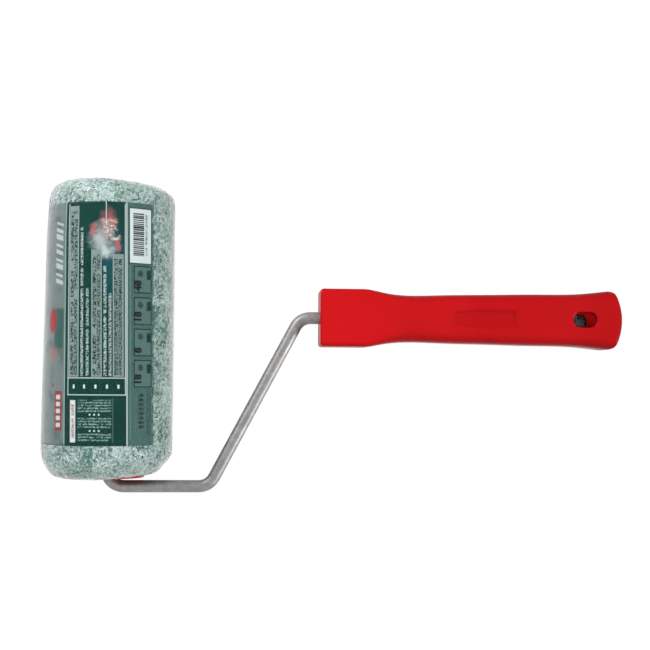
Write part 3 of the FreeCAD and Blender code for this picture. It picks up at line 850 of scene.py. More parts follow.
@dataclass(frozen=True)
class PrintedWrap:
    """The wrap's printing. It has no words: rows of plain marks and soft shapes stand in for them."""

    width: float
    length: float
    name: str = "wrap_print"

    def build(self, effects: Effects) -> bpy.types.Material:
        """Build the material.

        Args:
            effects: Shared node groups.

        Returns:
            The material.
        """
        material, sheet, shader = new_material(self.name)
        flat = sheet.split(sheet.add("ShaderNodeUVMap", uv_map="wrap").outputs[0])
        u = sheet.maths("MULTIPLY", flat["X"], self.width)
        v = sheet.maths("MULTIPLY", flat["Y"], self.length)
        page = PrintSheet(sheet, effects, u, v)
        self.print_ground(page)
        self.print_art(page)
        self.print_columns(page)
        self.print_foot(page)
        self.print_side(page)
        self.print_size_strip(page)
        cockle = sheet.noise(sheet.place(), 60.0, 2.0).outputs["Fac"]
        sheet.fill(shader, {
            "Base Color": page.colour,
            "Alpha": self.cover(page),
            "Roughness": 0.42,
            "Specular IOR Level": 0.05,
            "Normal": sheet.bump(cockle, 0.3, 0.6 * MM),
        })
        return material

    @staticmethod
    def cover(page: PrintSheet) -> bpy.types.NodeSocket:
        """How much the printing hides: all of it, but less on the clear strip and at the grey side.

        Args:
            page: The printing so far.

        Returns:
            The share that is hidden, as a socket.
        """
        sheet = page.sheet
        torn = sheet.maths("MULTIPLY_ADD", page.cloud(0.16, 3.0).outputs["Fac"], 6.0, page.u)
        past = sheet.ramp(torn, 125.9, 128.4, (0.36, 1.0))
        strip = sheet.maths("MULTIPLY", page.box(106.0, -1.0, 128.0, 153.0, 0.3), past)
        plate = page.box(107.3, 113.2, 122.6, 147.7)
        thin = sheet.maths("MULTIPLY", strip, sheet.maths("SUBTRACT", 1.0, plate))
        side = sheet.maths("MULTIPLY", page.box(-1.0, -1.0, 64.6, 152.0, 1.0), 0.12)
        return sheet.maths("SUBTRACT", sheet.maths("SUBTRACT", 1.0, thin), side)

    @staticmethod
    def print_ground(page: PrintSheet) -> None:
        """The dark panel's own shading, from forest green to sea blue behind the picture.

        Args:
            page: The printing so far.
        """
        slow = page.cloud(0.05, 2.0).outputs["Fac"]
        page.lay(page.sheet.ramp(slow, 0.35, 0.7), Ink.FOREST, 0.75)
        page.lay(page.spot(98.0, 112.0, 16.0, 34.0, 0.1), Ink.SEA, 0.9)
        page.lay(page.spot(77.0, 142.0, 12.0, 14.0, 0.1), Ink.GREEN, 0.8)

    @staticmethod
    def print_art(page: PrintSheet) -> None:
        """A picture of no particular thing: rose and white blots with wandering edges, crossed by bars.

        Args:
            page: The printing so far.
        """
        sheet = page.sheet
        wander = sheet.split(page.cloud(0.22, 3.0, 0.6).outputs["Color"], "Color")
        u = sheet.maths("MULTIPLY_ADD", wander["Red"], 9.0, sheet.maths("SUBTRACT", page.u, 4.5))
        v = sheet.maths("MULTIPLY_ADD", wander["Green"], 12.0, sheet.maths("SUBTRACT", page.v, 6.0))
        art = page.bent(u, v)
        art.lay(art.spot(88.5, 128.0, 8.5, 12.0, 0.1), Ink.WHITE, 0.6)
        art.lay(art.spot(94.5, 137.0, 6.5, 13.0, 0.25), Ink.ROSE, 0.85)
        art.lay(art.spot(85.0, 133.5, 3.8, 5.0, 0.3), Ink.ROSE, 0.9)
        art.lay(art.spot(93.5, 141.0, 2.6, 5.0, 0.2), Ink.RED, 0.6)
        bars = art.rows((89.5, 122.0, 100.0, 144.0), 1.6, upright=False, fill=0.75, mark=5.0)
        art.lay(sheet.maths("MULTIPLY", bars, art.spot(94.5, 133.0, 6.0, 10.5, 0.5)), Ink.WHITE, 0.7)
        art.lay(art.spot(100.0, 123.5, 3.6, 6.5, 0.35), Ink.ROSE, 0.9)
        art.lay(art.spot(92.5, 120.5, 7.5, 6.5, 0.05), Ink.WHITE, 0.7)
        art.lay(art.spot(98.0, 128.0, 3.4, 1.8, 0.1), Ink.WHITE, 0.9)
        page.colour = art.colour
        page.lay(page.box(92.6, 137.0, 93.1, 152.0), Ink.WHITE, 0.8)

    @staticmethod
    def print_columns(page: PrintSheet) -> None:
        """Pale columns with dark small print, the pale rows between them, and the thin frame.

        Args:
            page: The printing so far.
        """
        foot = 42.4
        for u0, u1, top in ((68.5, 75.2, 148.5), (83.6, 90.0, 121.0), (96.8, 103.4, 118.4)):
            page.lay(page.box(u0, foot, u1, top), Ink.MIST)
            for edge in (u0, u1 - 0.5):
                page.lay(page.box(edge, foot, edge + 0.5, top), Ink.PALE_GREEN)
            inner = (u0 + 0.6, foot + 1.0, u1 - 0.6, top - 3.0)
            page.lay(page.rows(inner, 2.65, fill=1.1, mark=0.62), Ink.FOREST)
        between = ((76.3, 135.0, 0.7), (79.9, 97.0, 0.6), (90.9, 111.0, 0.7), (94.0, 94.0, 0.6))
        for u0, top, strength in between:
            row = page.rows((u0, foot + 0.4, u0 + 2.2, top), 2.2, fill=1.0, mark=0.62)
            page.lay(row, Ink.WHITE, strength)
        left, right, low, line = 67.5, 104.8, 31.0, 0.5
        for u in (left, right - line):
            page.lay(page.box(u, low, u + line, 150.0), Ink.WHITE, 0.85)
        for v in (low, 41.4):
            page.lay(page.box(left, v, right, v + 0.55), Ink.WHITE, 0.85)
        for u in (72.0, 79.0, 86.2, 93.2, 100.2):
            page.lay(page.box(u - 0.6, 35.2, u + 0.6, 37.6, 0.4), Ink.WHITE)

    @staticmethod
    def print_foot(page: PrintSheet) -> None:
        """The block at the panel's foot: an upright red and white bar and rows of fine print.

        Args:
            page: The printing so far.
        """
        page.lay(page.box(69.4, 2.0, 73.2, 28.0), Ink.WHITE)
        page.lay(page.outline(69.6, 2.2, 73.0, 27.8, 0.3), Ink.RED, 0.35)
        page.lay(page.rows((70.3, 4.6, 72.4, 25.6), 2.1, fill=1.1, mark=0.45), Ink.RED)
        for v0, v1 in ((2.6, 7.8), (10.6, 17.8), (20.4, 28.2)):
            page.lay(page.rows((74.8, v0, 95.8, v1), 1.75, upright=False, fill=0.7, mark=0.9), Ink.PALE_GREEN)
        for v in (9.2, 19.1):
            for u in (82.6, 85.4, 88.2):
                page.lay(page.spot(u, v, 0.75, 0.75, 0.5), Ink.WHITE)
        page.lay(page.box(96.6, 1.6, 96.9, 29.4), Ink.PALE_GREEN, 0.5)

    @staticmethod
    def print_side(page: PrintSheet) -> None:
        """The grey side, with plain stripes, a red oval and a dark patch, and the panel behind it.

        Args:
            page: The printing so far.
        """
        page.lay(page.box(-1.0, -1.0, 64.4, 153.0, 0.2), Ink.GREY)
        fog = page.sheet.ramp(page.cloud(0.09, 3.0, 0.55).outputs["Fac"], 0.46, 0.68)
        page.lay(page.sheet.maths("MULTIPLY", fog, page.box(-1.0, -1.0, 64.0, 153.0, 0.3)), Ink.BOTTLE, 0.6)
        page.lay(page.box(64.4, -1.0, 65.3, 153.0, 0.2), Ink.PALE_GREEN)
        page.lay(page.box(1.5, 4.0, 20.0, 147.0), Ink.FOREST, 0.92)
        page.lay(page.rows((3.4, 8.0, 11.6, 126.0), 2.7, fill=0.8, mark=0.9), Ink.PALE_GREEN)
        page.lay(page.box(13.4, 8.0, 18.2, 143.0), Ink.MIST, 0.85)
        page.lay(page.rows((13.9, 9.5, 17.7, 140.0), 1.9, fill=0.9, mark=0.7), Ink.FOREST)
        page.lay(page.outline(3.4, 129.0, 11.6, 143.0, 0.5), Ink.WHITE, 0.7)
        leaning = page.sheet.maths("MULTIPLY_ADD", page.u, 0.3, page.v)
        slanted = page.bent(page.u, leaning)
        for number, thick in enumerate((2.6, 1.6, 3.2, 1.6, 2.6, 1.6, 3.2, 2.2, 1.6)):
            v = 118.2 + 4.6 * number
            slanted.lay(slanted.box(55.6, v, 62.6, v + thick, 0.6), Ink.WHITE, 0.62)
        page.colour = slanted.colour
        page.lay(page.rows((50.5, 120.0, 54.0, 148.0), 1.8, fill=0.6, mark=0.9), Ink.ROSE, 0.5)
        page.lay(page.box(54.8, 60.0, 63.6, 85.0, 1.6), Ink.BOTTLE)
        page.lay(page.spot(52.6, 77.5, 5.4, 9.4, 0.65), Ink.RED)
        page.lay(page.spot(54.0, 57.0, 6.5, 7.0, 0.2), Ink.ROSE, 0.6)
        page.lay(page.box(56.4, 9.0, 62.8, 33.5, 0.5), Ink.RED, 0.85)
        for v in (11.2 + 4.3 * number for number in range(5)):
            page.lay(page.box(57.6, v, 61.4, v + 2.7, 0.6), Ink.WHITE, 0.85)
        page.lay(page.spot(54.0, 37.2, 1.8, 1.8, 0.5), Ink.RED, 0.8)

    @staticmethod
    def print_size_strip(page: PrintSheet) -> None:
        """The clear strip: a white plate with bars, four size boxes and plain lines.

        Args:
            page: The printing so far.
        """
        sheet = page.sheet
        page.lay(page.box(105.8, -1.0, 127.0, 153.0, 0.2), Ink.CLOUDY)
        page.lay(page.box(105.2, -1.0, 105.9, 153.0, 0.2), Ink.WHITE, 0.85)
        page.lay(page.box(106.9, 112.9, 123.0, 148.0), Ink.BLACK, 0.8)
        page.lay(page.box(107.5, 113.5, 122.4, 147.4), Ink.WHITE)
        bar_pitch = 1.25
        steps = sheet.maths("DIVIDE", page.v, bar_pitch)
        number = sheet.maths("FLOOR", steps)
        chance = sheet.add("ShaderNodeTexWhiteNoise", {"W": number}, noise_dimensions="1D")
        thick = sheet.maths("MULTIPLY_ADD", chance.outputs["Value"], 0.4, 0.5)
        bars = sheet.maths("LESS_THAN", sheet.maths("FRACT", steps), thick)
        page.lay(sheet.maths("MULTIPLY", bars, page.box(109.7, 118.0, 117.2, 144.6)), Ink.BLACK)
        page.lay(page.rows((117.9, 118.6, 119.9, 144.0), 2.0, fill=1.0, mark=0.5), Ink.BLACK, 0.75)
        left, right = 109.9, 122.9
        for v0, v1 in ((94.6, 111.8), (74.9, 92.2), (55.4, 72.6), (36.0, 53.2)):
            page.lay(page.box(left, v0, right, v1), Ink.PALE_GREEN, 0.22)
            page.lay(page.outline(left, v0, right, v1, 0.7), Ink.FOREST)
            page.lay(page.spot(114.6, v1 - 4.9, 2.6, 3.0, 0.3), Ink.FOREST, 0.8)
            page.lay(page.box(119.2, v1 - 8.4, 122.2, v1 - 2.6, 0.9), Ink.FOREST)
        for v in (10.6 + 2.8 * number for number in range(8)):
            page.lay(page.box(113.2, v, 116.8, v + 1.8, 0.6), Ink.BLACK, 0.8)
        for u in (119.4, 121.3, 123.6):
            page.lay(page.box(u, 5.0, u + 0.6, 35.0), Ink.FOREST, 0.8)
        page.lay(page.box(107.4, 3.0, 108.0, 112.0), Ink.PALE_GREEN, 0.35)


# ---------------------------------------------------------------- sub-assemblies


@dataclass(frozen=True)
class SleeveForm:
    """The shape that the sleeve's soft pieces share: a round bar with eased shoulders and hollow ends.

    A place on it is a radius, a distance along the axis from the middle, and an angle from the top towards
    the handle.
    """

    centre: tuple[float, float, float]
    half_core: float
    lip_centre: float
    radius: float
    shoulder: float = 0.013
    lip: float = 0.0028
    swell: float = 0.0
    slump: float = 0.0024
    pinches: tuple = (
        (-1.0, 0.0014, -0.070, 0.060), (-1.0, 0.0016, 0.055, 0.090), (-1.0, 0.0022, -0.074, -0.090),
        (1.0, 0.0064, -0.076, -0.090),
    )

    @classmethod
    def from_frame(cls) -> "SleeveForm":
        """Read the sleeve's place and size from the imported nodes.

        Returns:
            The form.
        """
        core_low, core_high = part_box("core_tube")
        pile_low, pile_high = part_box("pile")
        backing_low, backing_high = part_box("pile_backing")
        lip = core_low.y - pile_low.y
        return cls(
            centre=tuple((core_low + core_high) / 2),
            half_core=(core_high.y - core_low.y) / 2,
            lip_centre=(backing_high.x - backing_low.x) / 2 + lip,
            radius=(pile_high.x - pile_low.x) / 2,
            lip=lip,
            swell=pile_high.y - core_high.y - lip,
        )

    def section(self, grow: float, count: int, low_turn: float = 90.0) -> Array:
        """The outer outline from the lower inner lip to the upper one, as evenly spaced places.

        Lip arcs and shoulder arcs are joined by straight runs, and the whole is grown outwards.

        Args:
            grow: How far outside the pile the outline lies, in metres.
            count: Places along it.
            low_turn: How far each lip arc is followed inwards, in degrees.

        Returns:
            Rows of radius, axial place, and the outward direction's two parts.
        """
        counts = (24, 32)
        lip_arc = np.linspace(math.pi / 2 + math.radians(low_turn), math.pi / 2, counts[0])
        angles = np.concatenate([lip_arc, np.linspace(math.pi / 2, 0.0, counts[1])])
        centre_r = np.repeat([self.lip_centre, self.radius - self.shoulder], counts)
        centre_y = np.repeat([self.half_core, self.half_core + self.lip - self.shoulder], counts)
        size = np.repeat([self.lip, self.shoulder], counts) + grow
        r = centre_r + size * np.cos(angles)
        y = centre_y + size * np.sin(angles)
        half = np.stack([r, y, np.cos(angles), np.sin(angles)], axis=1)
        other = half[::-1] * np.array([1.0, -1.0, 1.0, -1.0])
        half[:, 1] += self.swell
        outline = np.concatenate([half, other])[::-1]
        steps = np.hypot(np.diff(outline[:, 0]), np.diff(outline[:, 1]))
        along = np.concatenate([[0.0], np.cumsum(steps)])
        wanted = np.linspace(0.0, along[-1], count)
        return np.stack([np.interp(wanted, along, outline[:, k]) for k in range(4)], axis=1)

    def place(self, r: Array, y: Array, theta: Array) -> Array:
        """Turn radius, axial place and angle into places in the part's frame.

        Both ends slump inwards on the handle side: by the slump times the angle's sine, and times
        4 q^2 (1 - q^2), where q is the share of the full radius. Each pinch is a side, a depth and the two
        axial places between which it grows; it pulls its side of the sleeve in by the depth times q^6.

        Args:
            r: Radii.
            y: Axial places from the middle.
            theta: Angles in radians.

        Returns:
            Points, three values each.
        """
        x_share = np.sin(theta)
        q = np.clip(r / self.radius, 0.0, 1.0) ** 2
        for side, depth, start, end in self.pinches:
            r = r - depth * np.maximum(side * x_share, 0.0) * smooth_step(y, start, end) * q ** 3
        x = self.centre[0] + r * x_share
        z = self.centre[2] + r * np.cos(theta)
        near_end = smooth_step(np.abs(y), self.half_core - 0.03, self.half_core)
        pull = self.slump * np.maximum(np.sin(theta), 0.0) * 4.0 * q * (1.0 - q) * near_end * np.sign(y)
        return np.stack(np.broadcast_arrays(x, self.centre[1] + y - pull, z), axis=-1)


@dataclass
class Sleeve:
    """The pile, its printed wrap and the clear film round both."""

    form: SleeveForm
    effects: Effects
    locks_each: int = 6000
    hidden_from: float = -68.0 * MM
    hidden_to: float = 74.0 * MM
    lock_batches: int = 5
    white: Colour = (0.80, 0.89, 0.87)
    green: Colour = (0.035, 0.13, 0.115)
    moss: Colour = (0.020, 0.19, 0.135)
    wrap_from: float = -120.0
    wrap_to: float = 52.0
    wrap_radius: float = 41.62 * MM
    wrap_lean: float = 3.2
    wrap_grid: tuple[int, int] = (190, 110)
    wrap_thickness: float = 0.12 * MM
    ground_grid: tuple[int, int] = (210, 330)
    film_grid: tuple[int, int] = (140, 300)
    film_gap: float = 0.3 * MM
    film_thickness: float = 0.12 * MM
    figure_size: float = 6.6
    figure_foot: float = 115.0
    figures: tuple = (("48", 96.0), ("18", 76.5), ("8", 57.4), ("18", 37.6))

    def build(self) -> None:
        """Build and dress every soft piece, in order."""
        thread = PileThread().build()
        ground = self.build_ground(thread)
        for index in range(self.lock_batches):
            self.build_locks(index, thread)
        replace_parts(ground, "pile")
        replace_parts(self.build_wrap(), "label")
        self.build_figures()
        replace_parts(self.build_film(), "shrink_film")

    def finish(self, piece: bpy.types.Object, material: bpy.types.Material, slot: str) -> bpy.types.Object:
        """Dress a piece, let it ride on the sleeve and report it.

        Args:
            piece: The piece.
            material: Its material.
            slot: Not used.

        Returns:
            The piece.
        """
        piece.data.materials.append(material)
        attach(piece, "sleeve")
        LOG.info("%s: %d faces", piece.name, len(piece.data.polygons))
        return piece

    def tones(self, u: Array, v: Array, seed: int) -> Array:
        """Thread colours: white mottled with two greens by noise of three sizes, paler towards both ends.

        Args:
            u: Place round the roller, in turns.
            v: Place along it, from 0 to 1.
            seed: Seed of the chance.

        Returns:
            Four values for each place.
        """
        rng = np.random.default_rng(seed)
        mottle = 0.62 * lattice_noise(u, v, 84, 74, 5) + 0.3 * lattice_noise(u, v, 150, 130, 6)
        patch = lattice_noise(u, v, 22, 16, 7)
        mottle = mottle + 0.12 * patch
        ends = 1 - smooth_step(np.minimum(v, 1 - v), 0.05, 0.26)
        share = 0.47 + mottle + rng.uniform(-0.1, 0.1, u.shape) - 0.16 * ends
        share = np.clip(share, 0.0, 1.0)[..., None]
        mossy = smooth_step(patch, 0.05, 0.6)[..., None]
        green = (1 - mossy) * np.array(self.green) + mossy * np.array(self.moss)
        colour = (1 - share) * np.array(self.white) + share * green
        colour = colour * rng.uniform(0.92, 1.06, u.shape)[..., None]
        return np.concatenate([colour, np.ones_like(share)], axis=-1)

    def build_ground(self, thread: bpy.types.Material) -> bpy.types.Object:
        """The dense pile under the outer locks: the sleeve's outline, sunk a little and finely lumpy.

        The outline's places and the angles make a grid that closes both ways, through the straight inner
        wall. The surface is sunk by a set depth, and noise of two sizes moves it in and out.

        Args:
            thread: The pile's material.

        Returns:
            The piece.
        """
        steps, rounds = self.ground_grid
        outline = self.form.section(0.0, steps)
        theta = np.linspace(0.0, 2 * math.pi, rounds, endpoint=False)
        s, t = np.meshgrid(np.linspace(0.0, 1.0, steps), theta / (2 * math.pi), indexing="ij")
        bump = 0.6 * lattice_noise(t, s, 150, 110, 1) + 0.4 * lattice_noise(t, s, 75, 55, 2)
        edge = smooth_step(s, 0.0, 0.03) * smooth_step(1 - s, 0.0, 0.03)
        depth = (0.95 * MM + 0.45 * MM * bump) * edge + 0.05 * MM
        r = outline[:, 0][:, None] - depth * outline[:, 2][:, None]
        y = outline[:, 1][:, None] - depth * outline[:, 3][:, None]
        points = self.form.place(r, y, theta[None, :])
        tones = self.tones(t, s, 3)
        tones[..., :3] *= (0.75 + 0.25 * smooth_step(bump, -0.8, 0.6))[..., None]
        piece = build_piece(
            "pile_ground", points.reshape(-1, 3), [grid_faces(steps, rounds, True, True)],
            tones=tones.reshape(-1, 4),
        )
        return self.finish(piece, thread, "pile_mixed")

    def scatter_locks(self, rng: np.random.Generator, outline: Array) -> tuple[Array, Array]:
        """Chance places for locks, as many to each area, without those that the printing hides.

        Twice as many as wanted are drawn. A row of the outline has the chance of its radius over the
        sum of all radii, and every angle has the same chance.

        Args:
            rng: Source of chance.
            outline: Rows of the sleeve's outline.

        Returns:
            The share of the outline and the angle at which each lock starts.
        """
        rows, drawn = len(outline), self.locks_each * 2
        start = rng.choice(rows, drawn, p=outline[:, 0] / outline[:, 0].sum()) / (rows - 1.0)
        theta = rng.uniform(-math.pi, math.pi, drawn)
        degrees = np.degrees(theta)
        hidden = (degrees > self.wrap_from + 6) & (degrees < self.wrap_to - 32)
        axial = np.interp(start, np.linspace(0, 1, rows), outline[:, 1])
        hidden &= (axial > self.hidden_from) & (axial < self.hidden_to)
        keep = np.flatnonzero(~hidden)[:self.locks_each]
        return start[keep], theta[keep]

    @staticmethod
    def lock_faces(count: int) -> list[Array]:
        """Faces of many locks, each with a root, four rings of four points and a tip, in that order.

        Args:
            count: Number of locks.

        Returns:
            The four-sided faces between the rings, and the three-sided ones at both ends.
        """
        k = np.arange(4)
        k1 = (k + 1) % 4
        ring = np.array([1, 5, 9])[:, None]
        quads = np.stack([ring + k, ring + k1, ring + 4 + k1, ring + 4 + k], axis=-1).reshape(-1, 4)
        root = np.stack([0 * k, 1 + k1, 1 + k], axis=1)
        tip = np.stack([13 + k, 13 + k1, 17 + 0 * k], axis=1)
        shift = (np.arange(count) * LOCK_POINTS)[:, None, None]
        return [(quads + shift).reshape(-1, 4), (np.concatenate([root, tip]) + shift).reshape(-1, 3)]

    def build_locks(self, index: int, thread: bpy.types.Material) -> bpy.types.Object:
        """Locks of pile pressed flat under the film.

        A lock is a tapered tube along a path on the sleeve: it rises out of the ground, lies just under the
        surface for most of its length and dips at its tip, with a sideways curl of half a sine. Four rings
        of four points round the path, wide across and thin in depth, and a point at each end, close it.

        Args:
            index: Number of the batch.
            thread: The pile's material.

        Returns:
            The piece.
        """
        rng = np.random.default_rng(20 + index)
        outline = self.form.section(0.0, 900, 70.0)
        start, theta0 = self.scatter_locks(rng, outline)
        n = len(start)
        length = rng.uniform(3.5, 7.5, n) * MM
        heading = rng.uniform(0, 2 * math.pi, n)
        curl = rng.uniform(-1.4, 1.4, n) * MM
        width = rng.uniform(0.42, 0.9, n) * MM
        t = np.array([0.0, 0.12, 0.4, 0.7, 0.92, 1.0])
        depth = np.array([1.7, 0.9, 0.3, 0.25, 0.5, 0.85]) * MM
        ahead = length[:, None] * t
        aside = curl[:, None] * np.sin(math.pi * t)
        ds = ahead * np.cos(heading)[:, None] - aside * np.sin(heading)[:, None]
        dc = ahead * np.sin(heading)[:, None] + aside * np.cos(heading)[:, None]
        span = np.hypot(np.diff(outline[:, 0]), np.diff(outline[:, 1])).sum()
        s = np.clip(start[:, None] + ds / span, 0.0, 1.0)
        knots = np.linspace(0, 1, len(outline))
        r, y, nr, ny = (np.interp(s, knots, outline[:, k]) for k in range(4))
        theta = theta0[:, None] + dc / r
        sink = depth + rng.uniform(0.0, 0.25, n)[:, None] * MM
        path = self.form.place(r - sink * nr, y - sink * ny, theta)
        up = np.stack([nr * np.sin(theta), ny, nr * np.cos(theta)], axis=-1)
        tangent = unit(np.gradient(path, axis=1))
        across = unit(np.cross(tangent, up))
        shape = width[:, None] * np.array([0.45, 1.0, 1.0, 0.6])
        ring = np.arange(4) * math.pi / 2
        wide = shape[:, :, None, None] * np.cos(ring)[None, None, :, None]
        thin = 0.3 * shape[:, :, None, None] * np.sin(ring)[None, None, :, None]
        rings = path[:, 1:5, None, :] + wide * across[:, 1:5, None, :] + thin * up[:, 1:5, None, :]
        points = np.concatenate([path[:, :1], rings.reshape(n, 16, 3), path[:, 5:]], axis=1)
        tone = self.tones(theta0 / (2 * math.pi) + 0.5, start, 40 + index)
        tones = np.repeat(tone[:, None, :], LOCK_POINTS, axis=1)
        # Painted shade along each lock: darker at its root and tip, and a touch lighter just past its middle.
        shade = np.concatenate([[0.8], np.repeat([0.88, 1.0, 1.04, 1.0], 4), [0.96]])
        tones[..., :3] *= shade[None, :, None]
        piece = build_piece(
            f"pile_locks_{index + 1}", points.reshape(-1, 3), self.lock_faces(n),
            tones=np.clip(tones, 0, 1).reshape(-1, 4),
        )
        return self.finish(piece, thread, "pile_mixed")

    def wrap_place(self, u: Array, v: Array, lift: float = 0.0) -> Array:
        """Places on the printed wrap, which is wound on with a slight lean and cockles a little.

        The angle grows with u, and leans back towards the free end. The radius is the wrap's own, plus
        slow noise, plus lift.

        Args:
            u: Distance round the roller from the wrap's left edge.
            v: Distance along it from the wrap's lower edge.
            lift: Height over the wrap.

        Returns:
            Points, three values each.
        """
        low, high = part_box("label")
        share = v / (high.y - low.y)
        cockle = 0.05 * MM * lattice_noise(u / 0.2, v / 0.2, 12, 16, 31)
        theta = np.radians(self.wrap_from + self.wrap_lean * (0.5 - share)) + u / self.wrap_radius
        return self.form.place(self.wrap_radius + cockle + lift, v + low.y - self.form.centre[1], theta)

    def build_wrap(self) -> bpy.types.Object:
        """The printed wrap: a sheet bent round the roller, thickened inwards.

        Returns:
            The piece.
        """
        low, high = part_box("label")
        width = math.radians(self.wrap_to - self.wrap_from) * self.wrap_radius
        length = high.y - low.y
        across, along = self.wrap_grid
        share_u, share_v = np.meshgrid(np.linspace(0, 1, across), np.linspace(0, 1, along), indexing="ij")
        points = self.wrap_place(share_u * width, share_v * length)
        uv = np.stack([share_u, share_v], axis=-1).reshape(-1, 2)
        faces = grid_faces(across, along, False, False)[:, ::-1]
        piece = build_piece("printed_wrap", points.reshape(-1, 3), [faces], uv=uv)
        wall = piece.modifiers.new("wall", "SOLIDIFY")
        wall.thickness = self.wrap_thickness
        wall.offset = -1.0
        printing = PrintedWrap(width / MM, length / MM).build(self.effects)
        return self.finish(piece, printing, "label_print")

    def build_figures(self) -> bpy.types.Object:
        """The plain size numbers in the wrap's four boxes, bent onto it.

        Each number is Blender's own letter shape made into a flat mesh; its reading direction is laid
        along the roller, and its height round it.

        Returns:
            The piece.
        """
        points, faces, count = [], [], 0
        for text, v0 in self.figures:
            curve = bpy.data.curves.new("figure", "FONT")
            curve.body = text
            curve.size = self.figure_size
            curve.resolution_u = 3
            curve.offset = 0.32
            flat = bpy.data.objects.new("figure", curve)
            mesh = bpy.data.meshes.new_from_object(flat)
            shape = bmesh.new()
            shape.from_mesh(mesh)
            bmesh.ops.subdivide_edges(shape, edges=shape.edges[:], cuts=3, use_grid_fill=True)
            shape.to_mesh(mesh)
            shape.free()
            place = np.empty(len(mesh.vertices) * 3, np.float32)
            mesh.vertices.foreach_get("co", place)
            place = place.reshape(-1, 3)
            faces += [tuple(count + k for k in polygon.vertices) for polygon in mesh.polygons]
            u, v = self.figure_foot - place[:, 1], v0 + place[:, 0]
            points.append(self.wrap_place(u * MM, v * MM, 0.05 * MM))
            count += len(place)
            bpy.data.objects.remove(flat)
            bpy.data.curves.remove(curve)
            bpy.data.meshes.remove(mesh)
        mesh = bpy.data.meshes.new("size_figures")
        mesh.from_pydata(np.concatenate(points).tolist(), [], faces)
        piece = bpy.data.objects.new("size_figures", mesh)
        bpy.context.scene.collection.objects.link(piece)
        black = MouldedPlastic("black_ink", Ink.BLACK.value, Ink.BLACK.value, 0.5, specular=0.05)
        return self.finish(piece, black.build(self.effects), "label_print")

    def build_film(self) -> bpy.types.Object:
        """The film: the sleeve's outline grown outwards, as two walls joined at both mouths.

        Pleats are waves round the roller whose height grows at the shoulders, and slow noise makes the
        film slack in between.

        Returns:
            The piece.
        """
        steps, rounds = self.film_grid
        theta = np.linspace(0.0, 2 * math.pi, rounds, endpoint=False)
        outer = self.form.section(self.film_gap + self.film_thickness, steps, 40.0)
        inner = self.form.section(self.film_gap, steps, 40.0)[::-1]
        outline = np.concatenate([outer, inner])
        s = np.concatenate([np.linspace(0, 1, steps), np.linspace(1, 0, steps)])
        s, t = np.meshgrid(s, theta / (2 * math.pi), indexing="ij")
        end = 1 - smooth_step(np.minimum(s, 1 - s), 0.06, 0.2)
        pleat = lattice_noise(t, s, 64, 7, 11) + 0.6 * lattice_noise(t, s, 130, 12, 12)
        slack = lattice_noise(t, s, 9, 7, 13)
        lift = (0.22 * pleat * end + 0.06 * slack) * MM
        r = outline[:, 0][:, None] + lift * outline[:, 2][:, None]
        y = outline[:, 1][:, None] + lift * outline[:, 3][:, None]
        points = self.form.place(r, y, theta[None, :])
        crease = smooth_step(np.abs(pleat), 0.35, 1.2) * end
        loose = 1 - smooth_step(np.minimum(s, 1 - s), 0.1, 0.135)
        tones = np.stack([crease, np.zeros_like(s), loose, np.ones_like(s)], axis=-1)
        piece = build_piece(
            "film", points.reshape(-1, 3), [grid_faces(2 * steps, rounds, True, True)],
            tones=tones.reshape(-1, 4),
        )
        return self.finish(piece, ClearFilm().build(), "clear_film")


@dataclass
class HardParts:
    """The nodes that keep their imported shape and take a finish."""

    effects: Effects

    def build(self) -> None:
        """Give each carried-over node its material."""
        red = GripPlastic("handle_red", (0.665, 0.006, 0.009), (0.60, 0.004, 0.007), 0.34, specular=0.12)
        low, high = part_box("core_tube")
        hub = HubPlastic(
            "hub_red", (0.50, 0.008, 0.014), (0.42, 0.005, 0.011), 0.4,
            axis_x=(low.x + high.x) / 2, axis_z=(low.z + high.z) / 2,
        )
        nylon = MouldedPlastic("nylon", (0.72, 0.71, 0.66), (0.62, 0.61, 0.56), 0.45)
        core = MouldedPlastic("core_plastic", (0.55, 0.56, 0.54), (0.46, 0.47, 0.45), 0.5)
        wire = PlatedSteel("zinc_wire", (0.33, 0.32, 0.318), (0.24, 0.233, 0.23), 0.5, 0.14, 0.8)
        sheet = PlatedSteel("zinc_sheet", (0.55, 0.55, 0.56), (0.42, 0.42, 0.43), 0.32)
        spring = PlatedSteel("spring_steel", (0.3, 0.3, 0.31), (0.2, 0.2, 0.21), 0.35)
        rods = [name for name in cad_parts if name.startswith("cage_rod")]
        plan = [
            (red, ["handle"]), (hub, ["inner_hub", "outer_hub", "end_cap", "cage_spider"]),
            (nylon, ["inner_bush", "outer_bush"]), (core, ["core_tube"]), (wire, ["wire_frame"]),
            (sheet, ["inner_washer", "outer_washer", "axle_retainer"]), (spring, rods),
        ]
        for finish, names in plan:
            self.dress(names, finish.build(self.effects))
        self.dress(["pile_backing"], WovenCloth().build())

    @staticmethod
    def dress(names: list[str], material: bpy.types.Material) -> None:
        """Put a material on nodes and report them.

        Args:
            names: Node names.
            material: Their material.
        """
        for name in names:
            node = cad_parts[name]
            node.data.materials.clear()
            node.data.materials.append(material)
            LOG.info("%s: %s", name, material.name)


